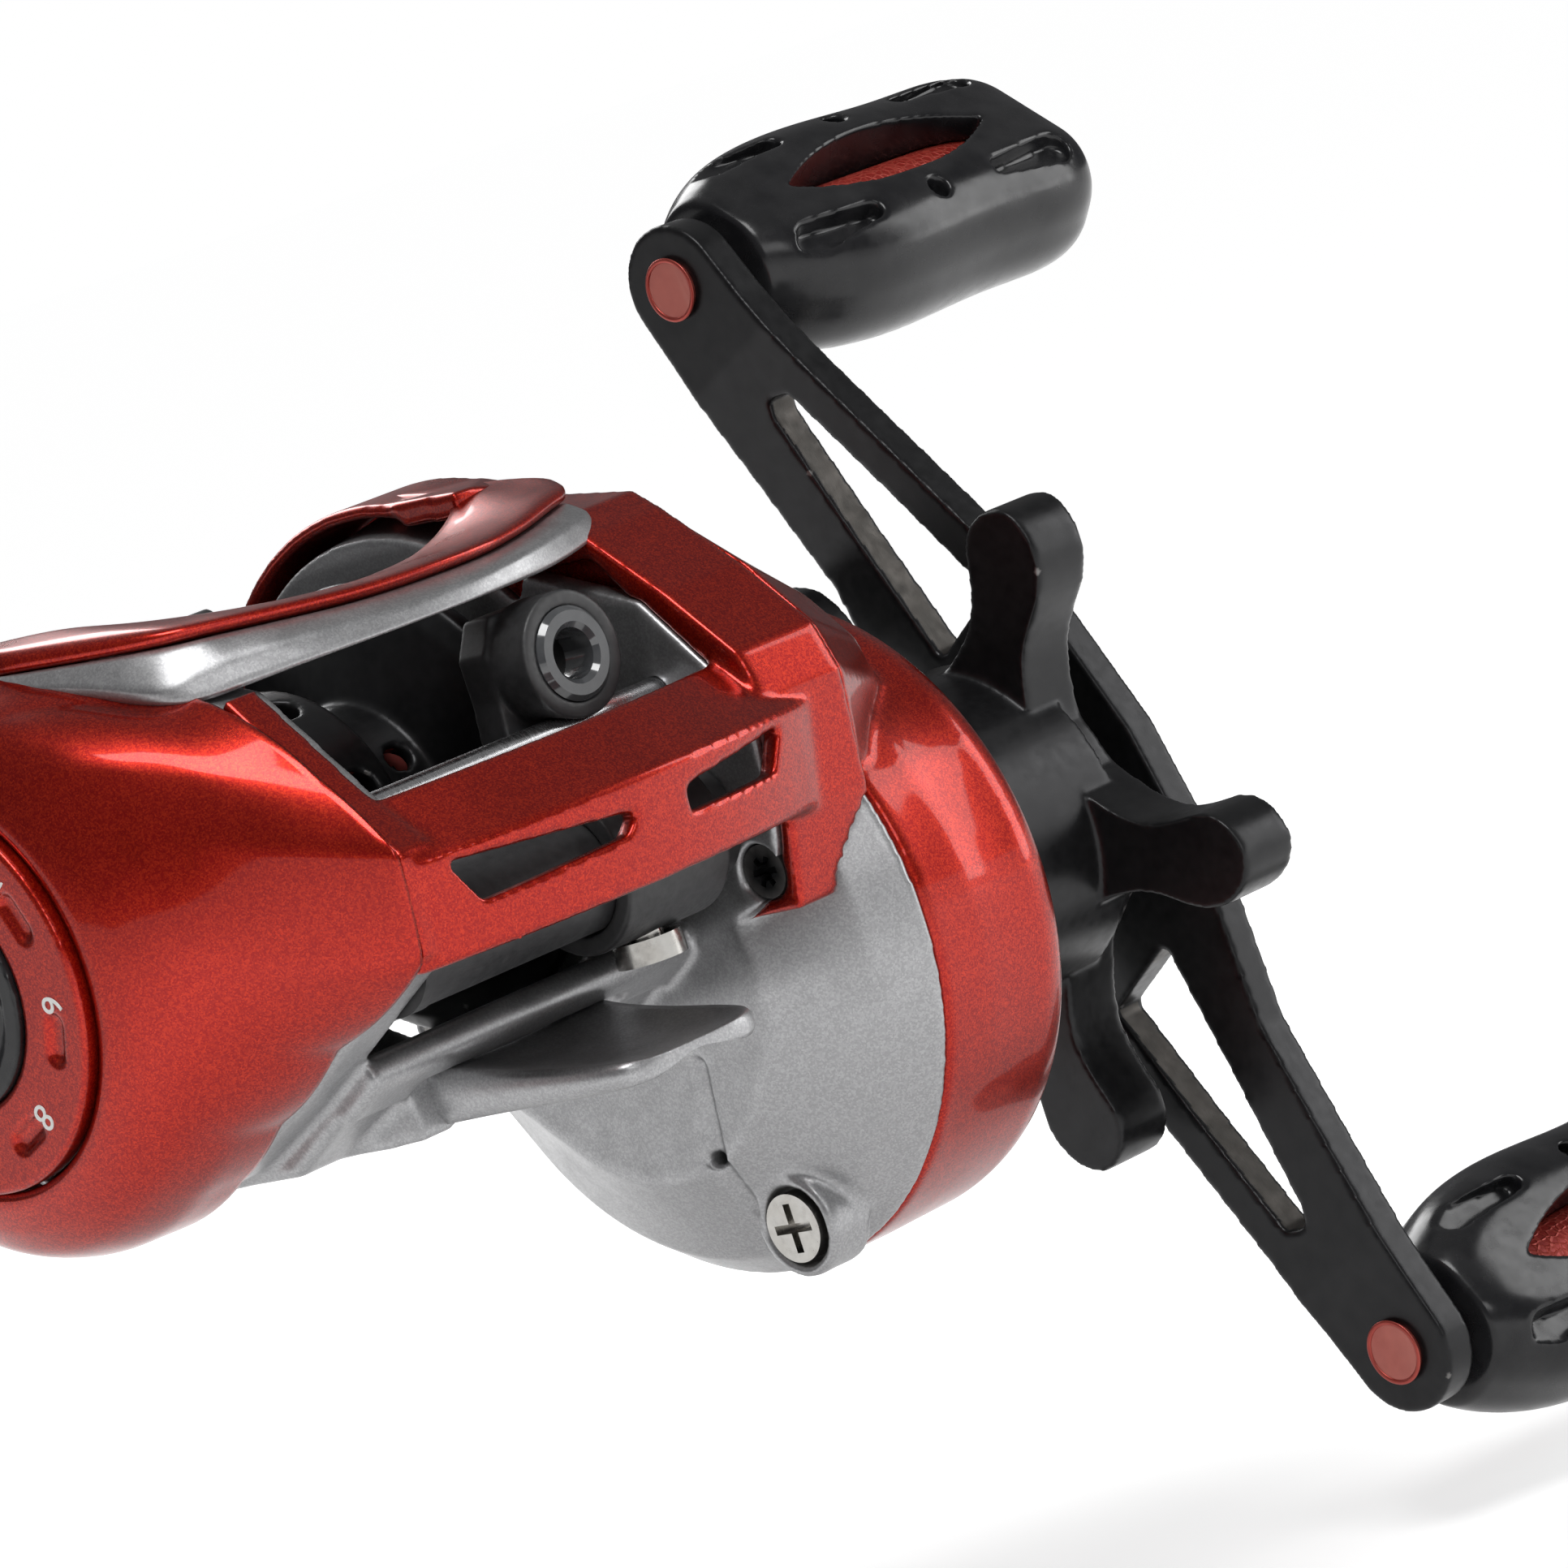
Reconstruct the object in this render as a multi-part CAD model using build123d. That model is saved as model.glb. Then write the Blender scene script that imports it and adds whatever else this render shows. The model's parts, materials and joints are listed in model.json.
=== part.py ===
"""Low-profile baitcasting reel, left-hand retrieve.

Axes: +X points out of the handle side, -Y is the front where the line leaves,
+Z points away from the rod. The origin is the middle of the foot's seat, on the
reel's centre plane and straight below the spool axis. Millimetres.
"""
from build123d import *
from math import acos, atan2, cos, degrees, pi, radians, sin, sqrt
import os

# ---- driving dimensions ----------------------------------------------------
# gear train
GEAR_MODULE = 0.375
DRIVE_TEETH = 81
PINION_TEETH = 10
WIND_MODULE = 0.5
WIND_DRIVE_TEETH = 41
WIND_DRIVEN_TEETH = 16

# axes of rotation, all parallel to X
DRIVE_Y, DRIVE_Z = -10.0, 2.4
GEAR_CENTRES = GEAR_MODULE * (DRIVE_TEETH + PINION_TEETH) / 2
SPOOL_Y = 0.0
SPOOL_Z = DRIVE_Z + sqrt(GEAR_CENTRES**2 - (SPOOL_Y - DRIVE_Y) ** 2)
SPOOL_ANGLE = degrees(atan2(SPOOL_Z - DRIVE_Z, SPOOL_Y - DRIVE_Y))
WIND_CENTRES = WIND_MODULE * (WIND_DRIVE_TEETH + WIND_DRIVEN_TEETH) / 2
WORM_ANGLE = 140.7
WORM_Y = DRIVE_Y + WIND_CENTRES * cos(radians(WORM_ANGLE))
WORM_Z = DRIVE_Z + WIND_CENTRES * sin(radians(WORM_ANGLE))

# spool
SPOOL_FLANGE_R = 13.8
SPOOL_BAND_R = 9.6
SPOOL_VALLEY_R = 7.2
SHAFT_R = 2.0
SHAFT_END_R = 1.0

# frame stations along X
PALM_SEAM_X = -16.5
PALM_WALL_X = -12.9
GEAR_WALL_X = 12.9
GEAR_FLOOR_X = 14.6
GEAR_RIM_X = 20.0
COVER_FACE_X = 31.2
SPOOL_BORE_R = 14.2
RING_R = 15.8
CASE_R = 19.4
CASE_TOP_R = 16.8
FOOT_LENGTH = 59.0
FOOT_WIDTH = 12.0
FOOT_BASE_WIDTH = 18.6
FOOT_THICKNESS = 1.8
ROD_SEAT_R = 15.6

# palm side plate
PALM_R = 17.2
DIAL_X = -25.6
DIAL_R = 11.6
DIAL_CAP_R = 6.6

# front nose and hood: edges bow forward about one upright axis
NOSE_BOW_Y = 14.6
HOOD_BOW_Y = 11.2

# level wind
CARRIAGE_X = 6.5
CARRIAGE_WIDTH = 8.4
GUIDE_ROD_Y, GUIDE_ROD_Z, GUIDE_ROD_R = -21.2, 19.2, 0.9
RING_Z = 23.2
RING_FRONT_Y = -23.0
LINE_RING_R = 2.75
LINE_HOLE_R = 1.5
WORM_R = 1.9
TUBE_R = 3.6

# crank
HUB_R = 10.4
HUB_X0, HUB_X1 = 31.7, 46.0
STAR_TIP_R = 21.9
STAR_ANGLE = 48.0
ARM_SPAN = 80.0
ARM_ANGLE = 67.0
ARM_END_X = 49.9
ARM_MID_X = 51.9
ARM_THICKNESS = 2.4
KNOB_X0, KNOB_X1 = 53.4, 83.4
KNOB_TURN_UPPER, KNOB_TURN_LOWER = 220.0, 238.0
KNOB_PIN_R = 1.5

# clearances
RUN = 0.04


# ---- helpers -----------------------------------------------------------------
def section(x):
    """Work plane across the reel: its own X is +Y, its own Y is +Z."""
    return Plane.YZ.offset(x)


def slab(face, x0, x1):
    """Extrude a flat (y, z) outline from station x0 to station x1."""
    return extrude(section(x0) * face, x1 - x0)


def disc(radius, x0, x1, y=0.0, z=0.0):
    return slab(Pos(y, z) * Circle(radius), x0, x1)


def tube(outer, inner, x0, x1, y=0.0, z=0.0):
    return disc(outer, x0, x1, y, z) - disc(inner, x0 - 1, x1 + 1, y, z)


def outline(*points):
    return make_face(Polyline(*points, close=True))


def unit(angle):
    return Vector(cos(radians(angle)), sin(radians(angle)))


def box_between(low, high):
    size = [b - a for a, b in zip(low, high)]
    middle = [(a + b) / 2 for a, b in zip(low, high)]
    return Pos(*middle) * Box(*size)


def about_drive(shape):
    return Pos(0, DRIVE_Y, DRIVE_Z) * shape


def about_spool(shape):
    return Pos(0, SPOOL_Y, SPOOL_Z) * shape


def about_worm(shape):
    return Pos(0, WORM_Y, WORM_Z) * shape


def turned(shape, angle):
    """Turn a shape about the X axis through the origin."""
    return Rot(X=angle) * shape


def case_outline(drive_r, spool_r):
    """Two arcs, about the drive and spool axes, joined by their outer tangents."""
    spread = degrees(acos((drive_r - spool_r) / GEAR_CENTRES))
    drive = Vector(DRIVE_Y, DRIVE_Z)
    spool = Vector(SPOOL_Y, SPOOL_Z)
    low, high = unit(SPOOL_ANGLE - spread), unit(SPOOL_ANGLE + spread)
    away, toward = unit(SPOOL_ANGLE + 180), unit(SPOOL_ANGLE)
    lower = ThreePointArc(drive + high * drive_r, drive + away * drive_r, drive + low * drive_r)
    upper = ThreePointArc(spool + low * spool_r, spool + toward * spool_r, spool + high * spool_r)
    joins = [Line(lower @ 1, upper @ 0), Line(upper @ 1, lower @ 0)]
    return make_face([lower, joins[0], upper, joins[1]])


def stacked(stations):
    """Straight-sided solid through case outlines given as (x, drive_r, spool_r)."""
    faces = [section(x) * case_outline(drive_r, spool_r) for x, drive_r, spool_r in stations]
    solid = loft(faces[:2], ruled=True)
    for lower, upper in zip(faces[1:], faces[2:]):
        solid += loft([lower, upper], ruled=True)
    return solid


def ring_arc(outer, inner, start, end):
    """Flat ring segment about the origin, from the start angle to the end angle."""
    middle = (start + end) / 2
    edges = [
        ThreePointArc(unit(start) * outer, unit(middle) * outer, unit(end) * outer),
        Line(unit(end) * outer, unit(end) * inner),
        ThreePointArc(unit(end) * inner, unit(middle) * inner, unit(start) * inner),
        Line(unit(start) * inner, unit(start) * outer),
    ]
    return make_face(edges)


def largest(shape):
    return max(shape.solids(), key=lambda solid: solid.volume)


def spool_arc(outer, inner, start, end, x0, x1):
    return about_spool(slab(ring_arc(outer, inner, start, end), x0, x1))


def gear_outline(teeth, module, tooth_share=0.78, addendum=0.75, dedendum=1.1):
    """Spur gear outline with stub teeth; one tooth is centred on its own +X."""
    pitch_r = teeth * module / 2
    tip_r = pitch_r + addendum * module
    root_r = pitch_r - dedendum * module
    half = 90.0 / teeth * tooth_share
    points = []
    for tooth in range(teeth):
        middle = 360.0 * tooth / teeth
        points.append(unit(middle - half * 1.45) * root_r)
        points.append(unit(middle - half * 0.5) * tip_r)
        points.append(unit(middle + half * 0.5) * tip_r)
        points.append(unit(middle + half * 1.45) * root_r)
    return outline(*points)


def bowed(points, bow_y, half_angle):
    """Turn a (y, z) outline at the centre plane about an upright axis at bow_y."""
    face = section(0) * outline(*points)
    axis = Axis((0, bow_y, 0), (0, 0, 1))
    return revolve(face, axis, half_angle) + revolve(face, axis, -half_angle)


def screw(head_r, head_h, shank_r, length, recess):
    """Screw along X: head from x = 0 outwards to -head_h, shank towards +X."""
    body = disc(head_r, -head_h, 0) + disc(shank_r, 0, length)
    return body - recess


def cross_recess(depth, top):
    slot = box_between((top - 0.1, -1.5, -0.28), (top + depth, 1.5, 0.28))
    return slot + turned(slot, 90)


def star_recess(depth, top):
    socket = disc(0.55, top - 0.1, top + depth)
    for spoke in range(3):
        socket += turned(box_between((top - 0.1, -0.95, -0.2), (top + depth, 0.95, 0.2)), 60 * spoke)
    return socket


# ---- frame -------------------------------------------------------------------
def palm_outline():
    """Side view of the palm side: round behind, a blunt nose in front."""
    nose = outline((-28.9, 11.0), (-29.7, 17.6), (-25.8, 21.0), (-19.3, 28.2),
                   (-6.0, 32.4), (0.0, 16.0), (0.0, -0.9), (-7.0, 0.1), (-14.5, 3.4))
    return Pos(SPOOL_Y, SPOOL_Z) * Circle(PALM_R) + nose


def frame_palm_wall():
    wall = slab(offset(palm_outline(), -0.9), PALM_SEAM_X + 0.05, PALM_WALL_X)
    pocket = outline((-27.2, 12.0), (-27.9, 16.6), (-24.6, 19.6), (-17.5, 26.0), (-15.2, 15.0),
                     (-17.0, 8.0))
    wall -= slab(pocket, PALM_SEAM_X - 1, PALM_WALL_X - 1.2)
    return wall - about_spool(disc(SPOOL_BORE_R, -20, 0))


def frame_gear_case():
    shell = stacked([(GEAR_WALL_X, 11.6, RING_R), (16.6, 17.5, 16.3), (19.5, CASE_R, CASE_TOP_R)])
    shell += slab(case_outline(CASE_R, CASE_TOP_R), 19.5, GEAR_RIM_X)
    shell += about_worm(disc(6.2, GEAR_WALL_X, GEAR_RIM_X))
    shell += slab(outline((-27.6, 12.0), (-28.0, 17.4), (-22.0, 24.5), (-13.5, 27.6), (-8.0, 20.0),
                          (-14.0, 8.0)),
                  GEAR_WALL_X, GEAR_FLOOR_X)
    cavity = stacked([(GEAR_FLOOR_X, 10.4, 14.6), (17.2, 16.4, 15.1), (GEAR_RIM_X, 18.2, 15.5)])
    cavity += slab(case_outline(18.2, 15.5), GEAR_RIM_X, GEAR_RIM_X + 1)
    cavity += about_worm(disc(5.1, GEAR_FLOOR_X, GEAR_RIM_X + 1))
    shell -= cavity
    shell += about_spool(disc(7.0, GEAR_WALL_X, 14.9))
    shell += about_drive(disc(5.4, GEAR_WALL_X, 15.1))
    return shell


def frame_floor():
    """Trough under and behind the spool that ties the two walls together."""
    trough = spool_arc(RING_R, SPOOL_BORE_R, -128, 12, PALM_WALL_X - 0.5, GEAR_WALL_X + 0.5)
    bar = slab(Pos(-15.6, 4.3) * Rot(0, 0, -28) * RectangleRounded(4.6, 2.2, 1.0),
               PALM_WALL_X - 0.5, GEAR_WALL_X + 0.5)
    apron = outline((-15.0, 3.3), (-9.0, 0.1), (-3.0, 0.1), (-3.0, 1.6), (-9.5, 4.0), (-14.6, 5.0))
    web = slab(apron, PALM_WALL_X - 0.5, GEAR_WALL_X + 0.5)
    return trough + bar + web - about_spool(disc(SPOOL_BORE_R, -20, 14))


def foot_plan():
    """Plan of the foot: a wide waist under the spool, a rounded tongue each end."""
    half_length, half_tip, half_base = FOOT_LENGTH / 2, FOOT_WIDTH / 2, FOOT_BASE_WIDTH / 2
    right = [
        (half_base, 12.0), (half_tip + 0.8, 19.0), (half_tip, half_length - 3.0),
        (half_tip - 2.6, half_length), (0, half_length),
    ]
    left = [(-x, y) for x, y in reversed(right[:-1])]
    rear = right + left
    front = [(-x, -y) for x, y in rear]
    return make_face(Polyline(*rear, *front, close=True))


def reel_foot():
    """Foot with an arched underside that straddles the rod; thin tongues, solid waist."""
    sole_z = -sqrt(ROD_SEAT_R**2 - (FOOT_WIDTH / 2) ** 2)
    rod = Pos(0, 0, sole_z) * Rot(X=90) * Cylinder(ROD_SEAT_R, FOOT_LENGTH + 10)
    crown = Pos(0, 0, sole_z) * Rot(X=90) * Cylinder(ROD_SEAT_R + FOOT_THICKNESS, FOOT_LENGTH + 10)
    tongue = extrude(foot_plan(), 6.0) & crown
    waist = extrude(foot_plan(), 2.8) & box_between((-20, -20, -1), (20, 20, 5))
    return tongue + waist - rod


def on_case(radius, angle):
    """Place on a circle about the drive axis."""
    return (DRIVE_Y + radius * cos(radians(angle)), DRIVE_Z + radius * sin(radians(angle)))


COVER_SCREWS = [on_case(17.0, -112.5), on_case(17.0, 0.0)]
DRAIN_HOLE = (-13.3, -8.3)
NOSE_SCREW = (-24.8, 7.7)


def case_groove():
    """Shallow straight channel down the outside of the gear case."""
    depth = 0.6
    outer = stacked([(GEAR_WALL_X, 11.6, RING_R), (16.6, 17.5, 16.3), (19.5, CASE_R, CASE_TOP_R)])
    skin = outer - Pos(depth, 0, 0) * outer
    strip = outline((-15.3, -2.2), (-14.3, -2.0), (-12.0, -17.5), (-13.0, -17.7))
    return skin & slab(strip, 10, 20)


def make_frame():
    body = frame_palm_wall() + frame_gear_case() + frame_floor() + reel_foot()
    thumb_shelf = spool_arc(RING_R + 1.6, SPOOL_BORE_R, -14, 13, PALM_WALL_X - 0.5, GEAR_WALL_X + 0.5)
    body += thumb_shelf
    for y, z in COVER_SCREWS:
        body += disc(3.1, 14.5, 17.9, y, z)
    body -= about_spool(disc(SPOOL_BORE_R, PALM_SEAM_X - 1, GEAR_WALL_X))
    body -= about_spool(disc(5.5, 10, 16))
    body -= about_drive(disc(4.0, 13.6, 16))
    body -= about_worm(disc(2.0, 10, 16))
    for y, z in COVER_SCREWS:
        body -= disc(1.1, 10, 21, y, z) + disc(2.4, 10, 16.0, y, z)
    body -= disc(0.45, 12, 16, *DRAIN_HOLE)
    body -= disc(0.75, 13, 21, *NOSE_SCREW) + disc(1.7, 12, 14.5, *NOSE_SCREW)
    body -= disc(GUIDE_ROD_R, PALM_WALL_X - 1.5, 14.2, GUIDE_ROD_Y, GUIDE_ROD_Z)
    body -= about_worm(disc(2.0, PALM_WALL_X - 2.0, -10))
    return body - case_groove()


# ---- red front cowl and hood ---------------------------------------------------
def make_front_cowl(frame):
    bar = bowed([(-31.2, 10.4), (-32.2, 16.4), (-28.3, 20.2), (-27.3, 19.2), (-30.7, 15.9), (-29.8, 10.6)],
                NOSE_BOW_Y, 24)
    bar &= box_between((PALM_SEAM_X + 0.1, -40, 0), (GEAR_RIM_X - 0.1, -10, 30))
    long_slot = outline((-13.8, 15.9), (-0.8, 14.7), (-1.9, 13.6), (-12.0, 13.2))
    short_slot = outline((3.3, 14.9), (12.8, 15.8), (11.3, 13.4), (3.3, 13.4))
    for slot in (long_slot, short_slot):
        bar -= extrude(Plane.XZ.offset(27) * slot, 7)
    cheek_side = outline((-29.2, 17.4), (-28.4, 10.6), (-26.9, 5.2), (-22.0, 5.2), (-15.0, 10.0),
                         (-8.0, 20.0),
                         (-8.0, 31.6), (-17.4, 30.2), (-19.3, 28.8), (-24.1, 24.6), (-28.3, 20.3))
    cheek = slab(cheek_side, 13.1, GEAR_RIM_X - 0.1)
    lens = outline((-26.9, 12.0), (-27.3, 17.2), (-24.8, 20.4), (-19.0, 27.6), (-14.0, 27.6), (-10.0, 8.0))
    cheek -= slab(lens, 12.0, GEAR_FLOOR_X + 0.05)
    inside = stacked([(12.8, 11.9, RING_R + 0.1), (16.6, 17.6, 16.4),
                      (19.5, CASE_R + 0.1, CASE_TOP_R + 0.1)])
    inside += slab(case_outline(CASE_R + 0.1, CASE_TOP_R + 0.1), 19.5, 21)
    inside += about_worm(disc(6.3, 12, 21))
    cheek -= inside
    cheek -= disc(1.7, 10, 15.6, *NOSE_SCREW) + disc(0.75, 10, 21, *NOSE_SCREW)
    tab_side = outline((-27.6, 11.0), (-26.8, 5.4), (-23.4, 5.2), (-22.4, 7.4), (-23.2, 11.0))
    tab = slab(tab_side, 13.6, 16.4) - inside - disc(1.7, 10, 15.6, *NOSE_SCREW)
    left_post = slab(outline((-28.8, 11.4), (-29.5, 17.2), (-25.8, 20.6), (-19.6, 27.6),
                             (-17.8, 26.6), (-24.6, 19.4),
                             (-28.0, 15.8), (-27.6, 11.4)), PALM_SEAM_X + 0.1, -14.0)
    cowl = bar + cheek + tab + left_post - frame
    return largest(cowl)


def make_hood_trim():
    strip = bowed([(-22.3, 27.9), (-22.0, 30.1), (-19.1, 31.3), (-19.1, 30.2), (-20.6, 28.8),
                   (-20.9, 27.9)],
                  HOOD_BOW_Y, 38)
    strip &= box_between((-14.2, -30, 20), (15.2, 0, 40))
    corner = outline((-19.1, 27.9), (-18.8, 30.1), (-15.6, 31.3), (-15.6, 30.2), (-17.2, 28.8),
                     (-17.6, 27.9))
    tip = outline((-6.4, 30.7), (-6.3, 32.9), (-4.2, 33.3), (-3.6, 32.6), (-4.0, 31.2), (-4.6, 30.7))
    return strip + loft([section(-14.2) * corner, section(-20.5) * tip], ruled=True)


def make_hood_cap():
    roof = bowed([(-19.05, 31.2), (-14.5, 33.2), (-9.0, 33.6), (-9.6, 32.0), (-14.0, 31.6), (-19.05, 30.1)],
                 HOOD_BOW_Y, 60)
    roof &= box_between((-18.4, -30, 20), (GEAR_RIM_X - 0.1, 2, 40))
    band = offset(palm_outline(), 1.2) - offset(palm_outline(), 0.1)
    band &= outline((-18.0, 26.0), (-18.0, 40.0), (18.0, 40.0), (18.0, 25.0))
    left_arm = slab(band, -19.6, -13.2)
    right_arm = spool_arc(17.7, CASE_TOP_R + 0.1, 30, 112, 13.1, GEAR_RIM_X - 0.1)
    return roof + left_arm + right_arm


# ---- palm side -------------------------------------------------------------------
def palm_section(radius, reach):
    """Side outline whose nose is pulled back towards the circle as reach drops to 0."""
    nose = [(-14.5, 3.4), (-28.9, 11.0), (-29.7, 17.6), (-25.8, 21.0), (-19.3, 28.2), (-6.0, 32.4)]
    points = []
    for y, z in nose:
        ray = Vector(y - SPOOL_Y, z - SPOOL_Z)
        length = radius + (ray.length - PALM_R) * reach
        points.append(ray.normalized() * length + Vector(SPOOL_Y, SPOOL_Z))
    low, high = points[0], points[-1]
    rear = Vector(SPOOL_Y, SPOOL_Z) + unit(-30) * radius
    edges = [Line(a, b) for a, b in zip(points, points[1:])]
    return make_face(edges + [ThreePointArc(high, rear, low)])


def palm_stack(stations):
    faces = [section(x) * palm_section(radius, reach) for x, radius, reach in stations]
    solid = loft(faces[:2], ruled=True)
    for lower, upper in zip(faces[1:], faces[2:]):
        solid += loft([lower, upper], ruled=True)
    return solid


def make_palm_side_plate():
    shell = palm_stack([(PALM_SEAM_X, PALM_R, 1.0), (-20.0, 17.0, 0.72), (-23.6, 15.8, 0.3),
                        (DIAL_X, 13.2, 0.05)])
    shell -= palm_stack([(PALM_SEAM_X + 1, 15.9, 0.86), (-20.0, 15.6, 0.55), (-22.6, 14.2, 0.1),
                         (-23.4, 13.0, 0.03)])
    shell -= about_spool(disc(DIAL_R + 0.1, DIAL_X - 1, -24.7))
    boss = tube(5.0, 3.4, -24.0, -13.9)
    shell += about_spool(boss)
    shell -= about_spool(disc(2.7, -26, -20))
    return shell


def make_brake_dial():
    dial = tube(DIAL_R, 0.7, DIAL_X - 0.7, -24.8)
    dial -= disc(DIAL_CAP_R + 0.05, DIAL_X - 1, DIAL_X - 0.1)
    for step in range(8):
        pocket = SlotOverall(3.0, 1.2)
        face = Rot(0, 0, 45 * step + 22.5) * Pos(9.2, 0) * Rot(0, 0, 90) * pocket
        dial -= slab(face, DIAL_X - 1, DIAL_X - 0.35)
    spindle = tube(2.6, 0.7, -24.8, -22.4) + tube(3.2, 0.7, -22.9, -22.4)
    return about_spool(dial + spindle)


def make_brake_dial_cap():
    cap = disc(DIAL_CAP_R, DIAL_X - 1.0, DIAL_X - 0.12)
    cap -= disc(DIAL_CAP_R - 1.2, DIAL_X - 1.2, DIAL_X - 0.8)
    grip = slab(RectangleRounded(9.6, 2.4, 1.0), DIAL_X - 1.2, DIAL_X - 0.5)
    return about_spool(cap + grip)


def make_magnet_carrier():
    ring = tube(11.4, 5.1, -17.4, -15.2)
    for step in range(8):
        ring -= turned(disc(1.5, -16.4, -14, 8.6, 0), 45 * step)
    return about_spool(ring)


def make_brake_magnets():
    magnet = disc(1.45, -16.35, -14.9, 8.6, 0)
    return Compound(children=[about_spool(turned(magnet, 45 * step)) for step in range(8)])


def ball_bearing(outer, inner, x0, x1):
    """Shielded bearing: two races with a web that stands for the balls and shields."""
    race = (outer - inner) * 0.28
    ring = tube(outer, inner, x0, x1)
    groove = tube(outer - race, inner + race, x0 - 1, x0 + 0.2)
    groove += tube(outer - race, inner + race, x1 - 0.2, x1 + 1)
    return ring - groove


# ---- spool -----------------------------------------------------------------------
def make_spool():
    """V-shaped spool: thin flanges, valleys and a raised drilled band in the middle."""
    outer = [(-11.5, 2.0), (-11.5, 4.4), (-10.6, 5.0), (-10.6, 12.4), (-11.5, 13.0),
             (-11.5, SPOOL_FLANGE_R),
             (-10.4, SPOOL_FLANGE_R), (-9.6, 12.6), (-7.6, SPOOL_VALLEY_R), (-3.6, SPOOL_VALLEY_R),
             (-2.4, SPOOL_BAND_R)]
    right = [(-x, r) for x, r in reversed(outer)]
    profile = make_face(Plane.XZ * Polyline(*outer, *right, close=True))
    body = revolve(profile, Axis.X)
    hollow = Polyline((-10.8, 5.2), (-10.8, 12.2), (-9.9, 12.2), (-8.3, 6.2), (-2.9, 6.2),
                      (-1.9, 8.6), (-1.9, 5.2),
                      close=True)
    cavity = revolve(make_face(Plane.XZ * hollow), Axis.X)
    body -= cavity + mirror(cavity, Plane.YZ)
    for step in range(8):
        body -= turned(Pos(0, 0, 9) * Cylinder(1.25, 8), 45 * step + 27)
    for side in (-1, 1):
        for step in range(6):
            hole = Pos(side * 6.0, 0, 7) * Cylinder(0.9, 6)
            body -= turned(hole, 60 * step)
    return about_spool(body)


def spool_pin_bar(radius, length):
    return turned(Pos(14.2, 0, 0) * Cylinder(radius, length), SPOOL_ANGLE)


def make_spool_shaft():
    shaft = disc(SHAFT_R, -11.9, 12.2) + disc(SHAFT_END_R, -15.9, 31.0)
    return about_spool(shaft - spool_pin_bar(0.4, 5.0))


def make_spool_pin():
    return about_spool(spool_pin_bar(0.4, 5.2))


# ---- clutch and pinion -------------------------------------------------------------
def make_pinion_gear():
    blank = disc(3.0, 12.95, 15.9) + disc(3.3, 22.9, 23.6) + disc(1.7, 23.5, 24.9) + disc(3.3, 24.8, 25.5)
    teeth = Rot(0, 0, SPOOL_ANGLE + 180 + 18) * gear_outline(PINION_TEETH, GEAR_MODULE)
    blank += slab(teeth, 15.9, 22.9)
    blank -= disc(SHAFT_END_R + RUN, 12, 27)
    slot = box_between((12, -0.65, -4), (15.2, 0.65, 4))
    return about_spool(blank - turned(slot, SPOOL_ANGLE))


def make_pinion_yoke():
    """Fork that holds the pinion's groove and rides on two posts."""
    plate = RectangleRounded(16.0, 5.4, 1.6) + Rectangle(18.4, 1.1)
    plate -= Circle(1.85)
    plate -= Pos(0, 3.0) * Rectangle(3.7, 6.0)
    for side in (-1, 1):
        plate -= Pos(side * 6.6, 0) * Circle(0.95)
    fork = slab(Rot(0, 0, SPOOL_ANGLE - 90) * plate, 23.75, 24.65)
    return about_spool(fork)


def yoke_post_places():
    across = unit(SPOOL_ANGLE - 90)
    return [(SPOOL_Y + side * 6.6 * across.X, SPOOL_Z + side * 6.6 * across.Y) for side in (-1, 1)]


def make_yoke_posts():
    return Compound(children=[disc(0.85, 14.95, 27.5, y, z) for y, z in yoke_post_places()])


def make_yoke_springs():
    springs = []
    for y, z in yoke_post_places():
        springs.append(tube(1.5, 1.0, 24.8, 27.4, y, z))
    return Compound(children=springs)


def make_clutch_cam():
    """Flat ring about the pinion with two stepped ramps that lift the yoke's ears."""
    ring = tube(9.4, 8.1, 16.9, 17.9)
    for ear in (SPOOL_ANGLE - 90, SPOOL_ANGLE + 90):
        for step in range(4):
            reach = 22.0 - 5.5 * step
            block = slab(outline((8.3, -0.4), (9.2, -0.4), (9.2, 0.8), (8.3, 0.8)), 17.5,
                         23.3 + 0.6 * (3 - step))
            ring += turned(block, ear + reach - 5.0)
    return about_spool(ring)


# ---- crank and drag ----------------------------------------------------------------
def make_drive_shaft():
    shaft = disc(2.5, 13.65, 16.9) + disc(3.0, 16.9, 46.6) + disc(2.6, 46.6, 58.6)
    flats = box_between((46.6, -3, 2.15), (55.0, 3, 4)) + box_between((46.6, -3, -4), (55.0, 3, -2.15))
    shaft -= turned(flats, ARM_ANGLE)
    return about_drive(shaft - disc(0.85, 54, 60))


def make_drive_gear():
    face = Rot(0, 0, SPOOL_ANGLE) * gear_outline(DRIVE_TEETH, GEAR_MODULE)
    gear = slab(face, 18.3, 21.3) + disc(11.2, 21.0, 25.3)
    gear -= disc(9.9, 20.0, 26)
    gear -= disc(3.0 + RUN, 17, 22)
    for step in range(6):
        gear -= turned(disc(1.0, 17, 22, 12.9, 0), 60 * step)
    return about_drive(gear)


def make_ratchet():
    teeth = gear_outline(10, 1.2, 0.6, 0.5, 0.9)
    return about_drive(slab(teeth, 16.95, 17.85) - disc(3.0 + RUN, 16, 19))


def stack_of_rings(outer, inner, stations, thickness):
    return Compound(children=[about_drive(tube(outer, inner, x, x + thickness)) for x in stations])


def make_drag_washers():
    return stack_of_rings(9.6, 3.3, (20.02, 21.74, 23.46), 0.8)


def make_drag_plates():
    return stack_of_rings(9.3, 3.0 + RUN, (20.88, 22.6, 24.32), 0.8)


def make_anti_reverse_sleeve():
    return about_drive(tube(4.5, 3.0 + RUN, 25.2, 34.0))


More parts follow.
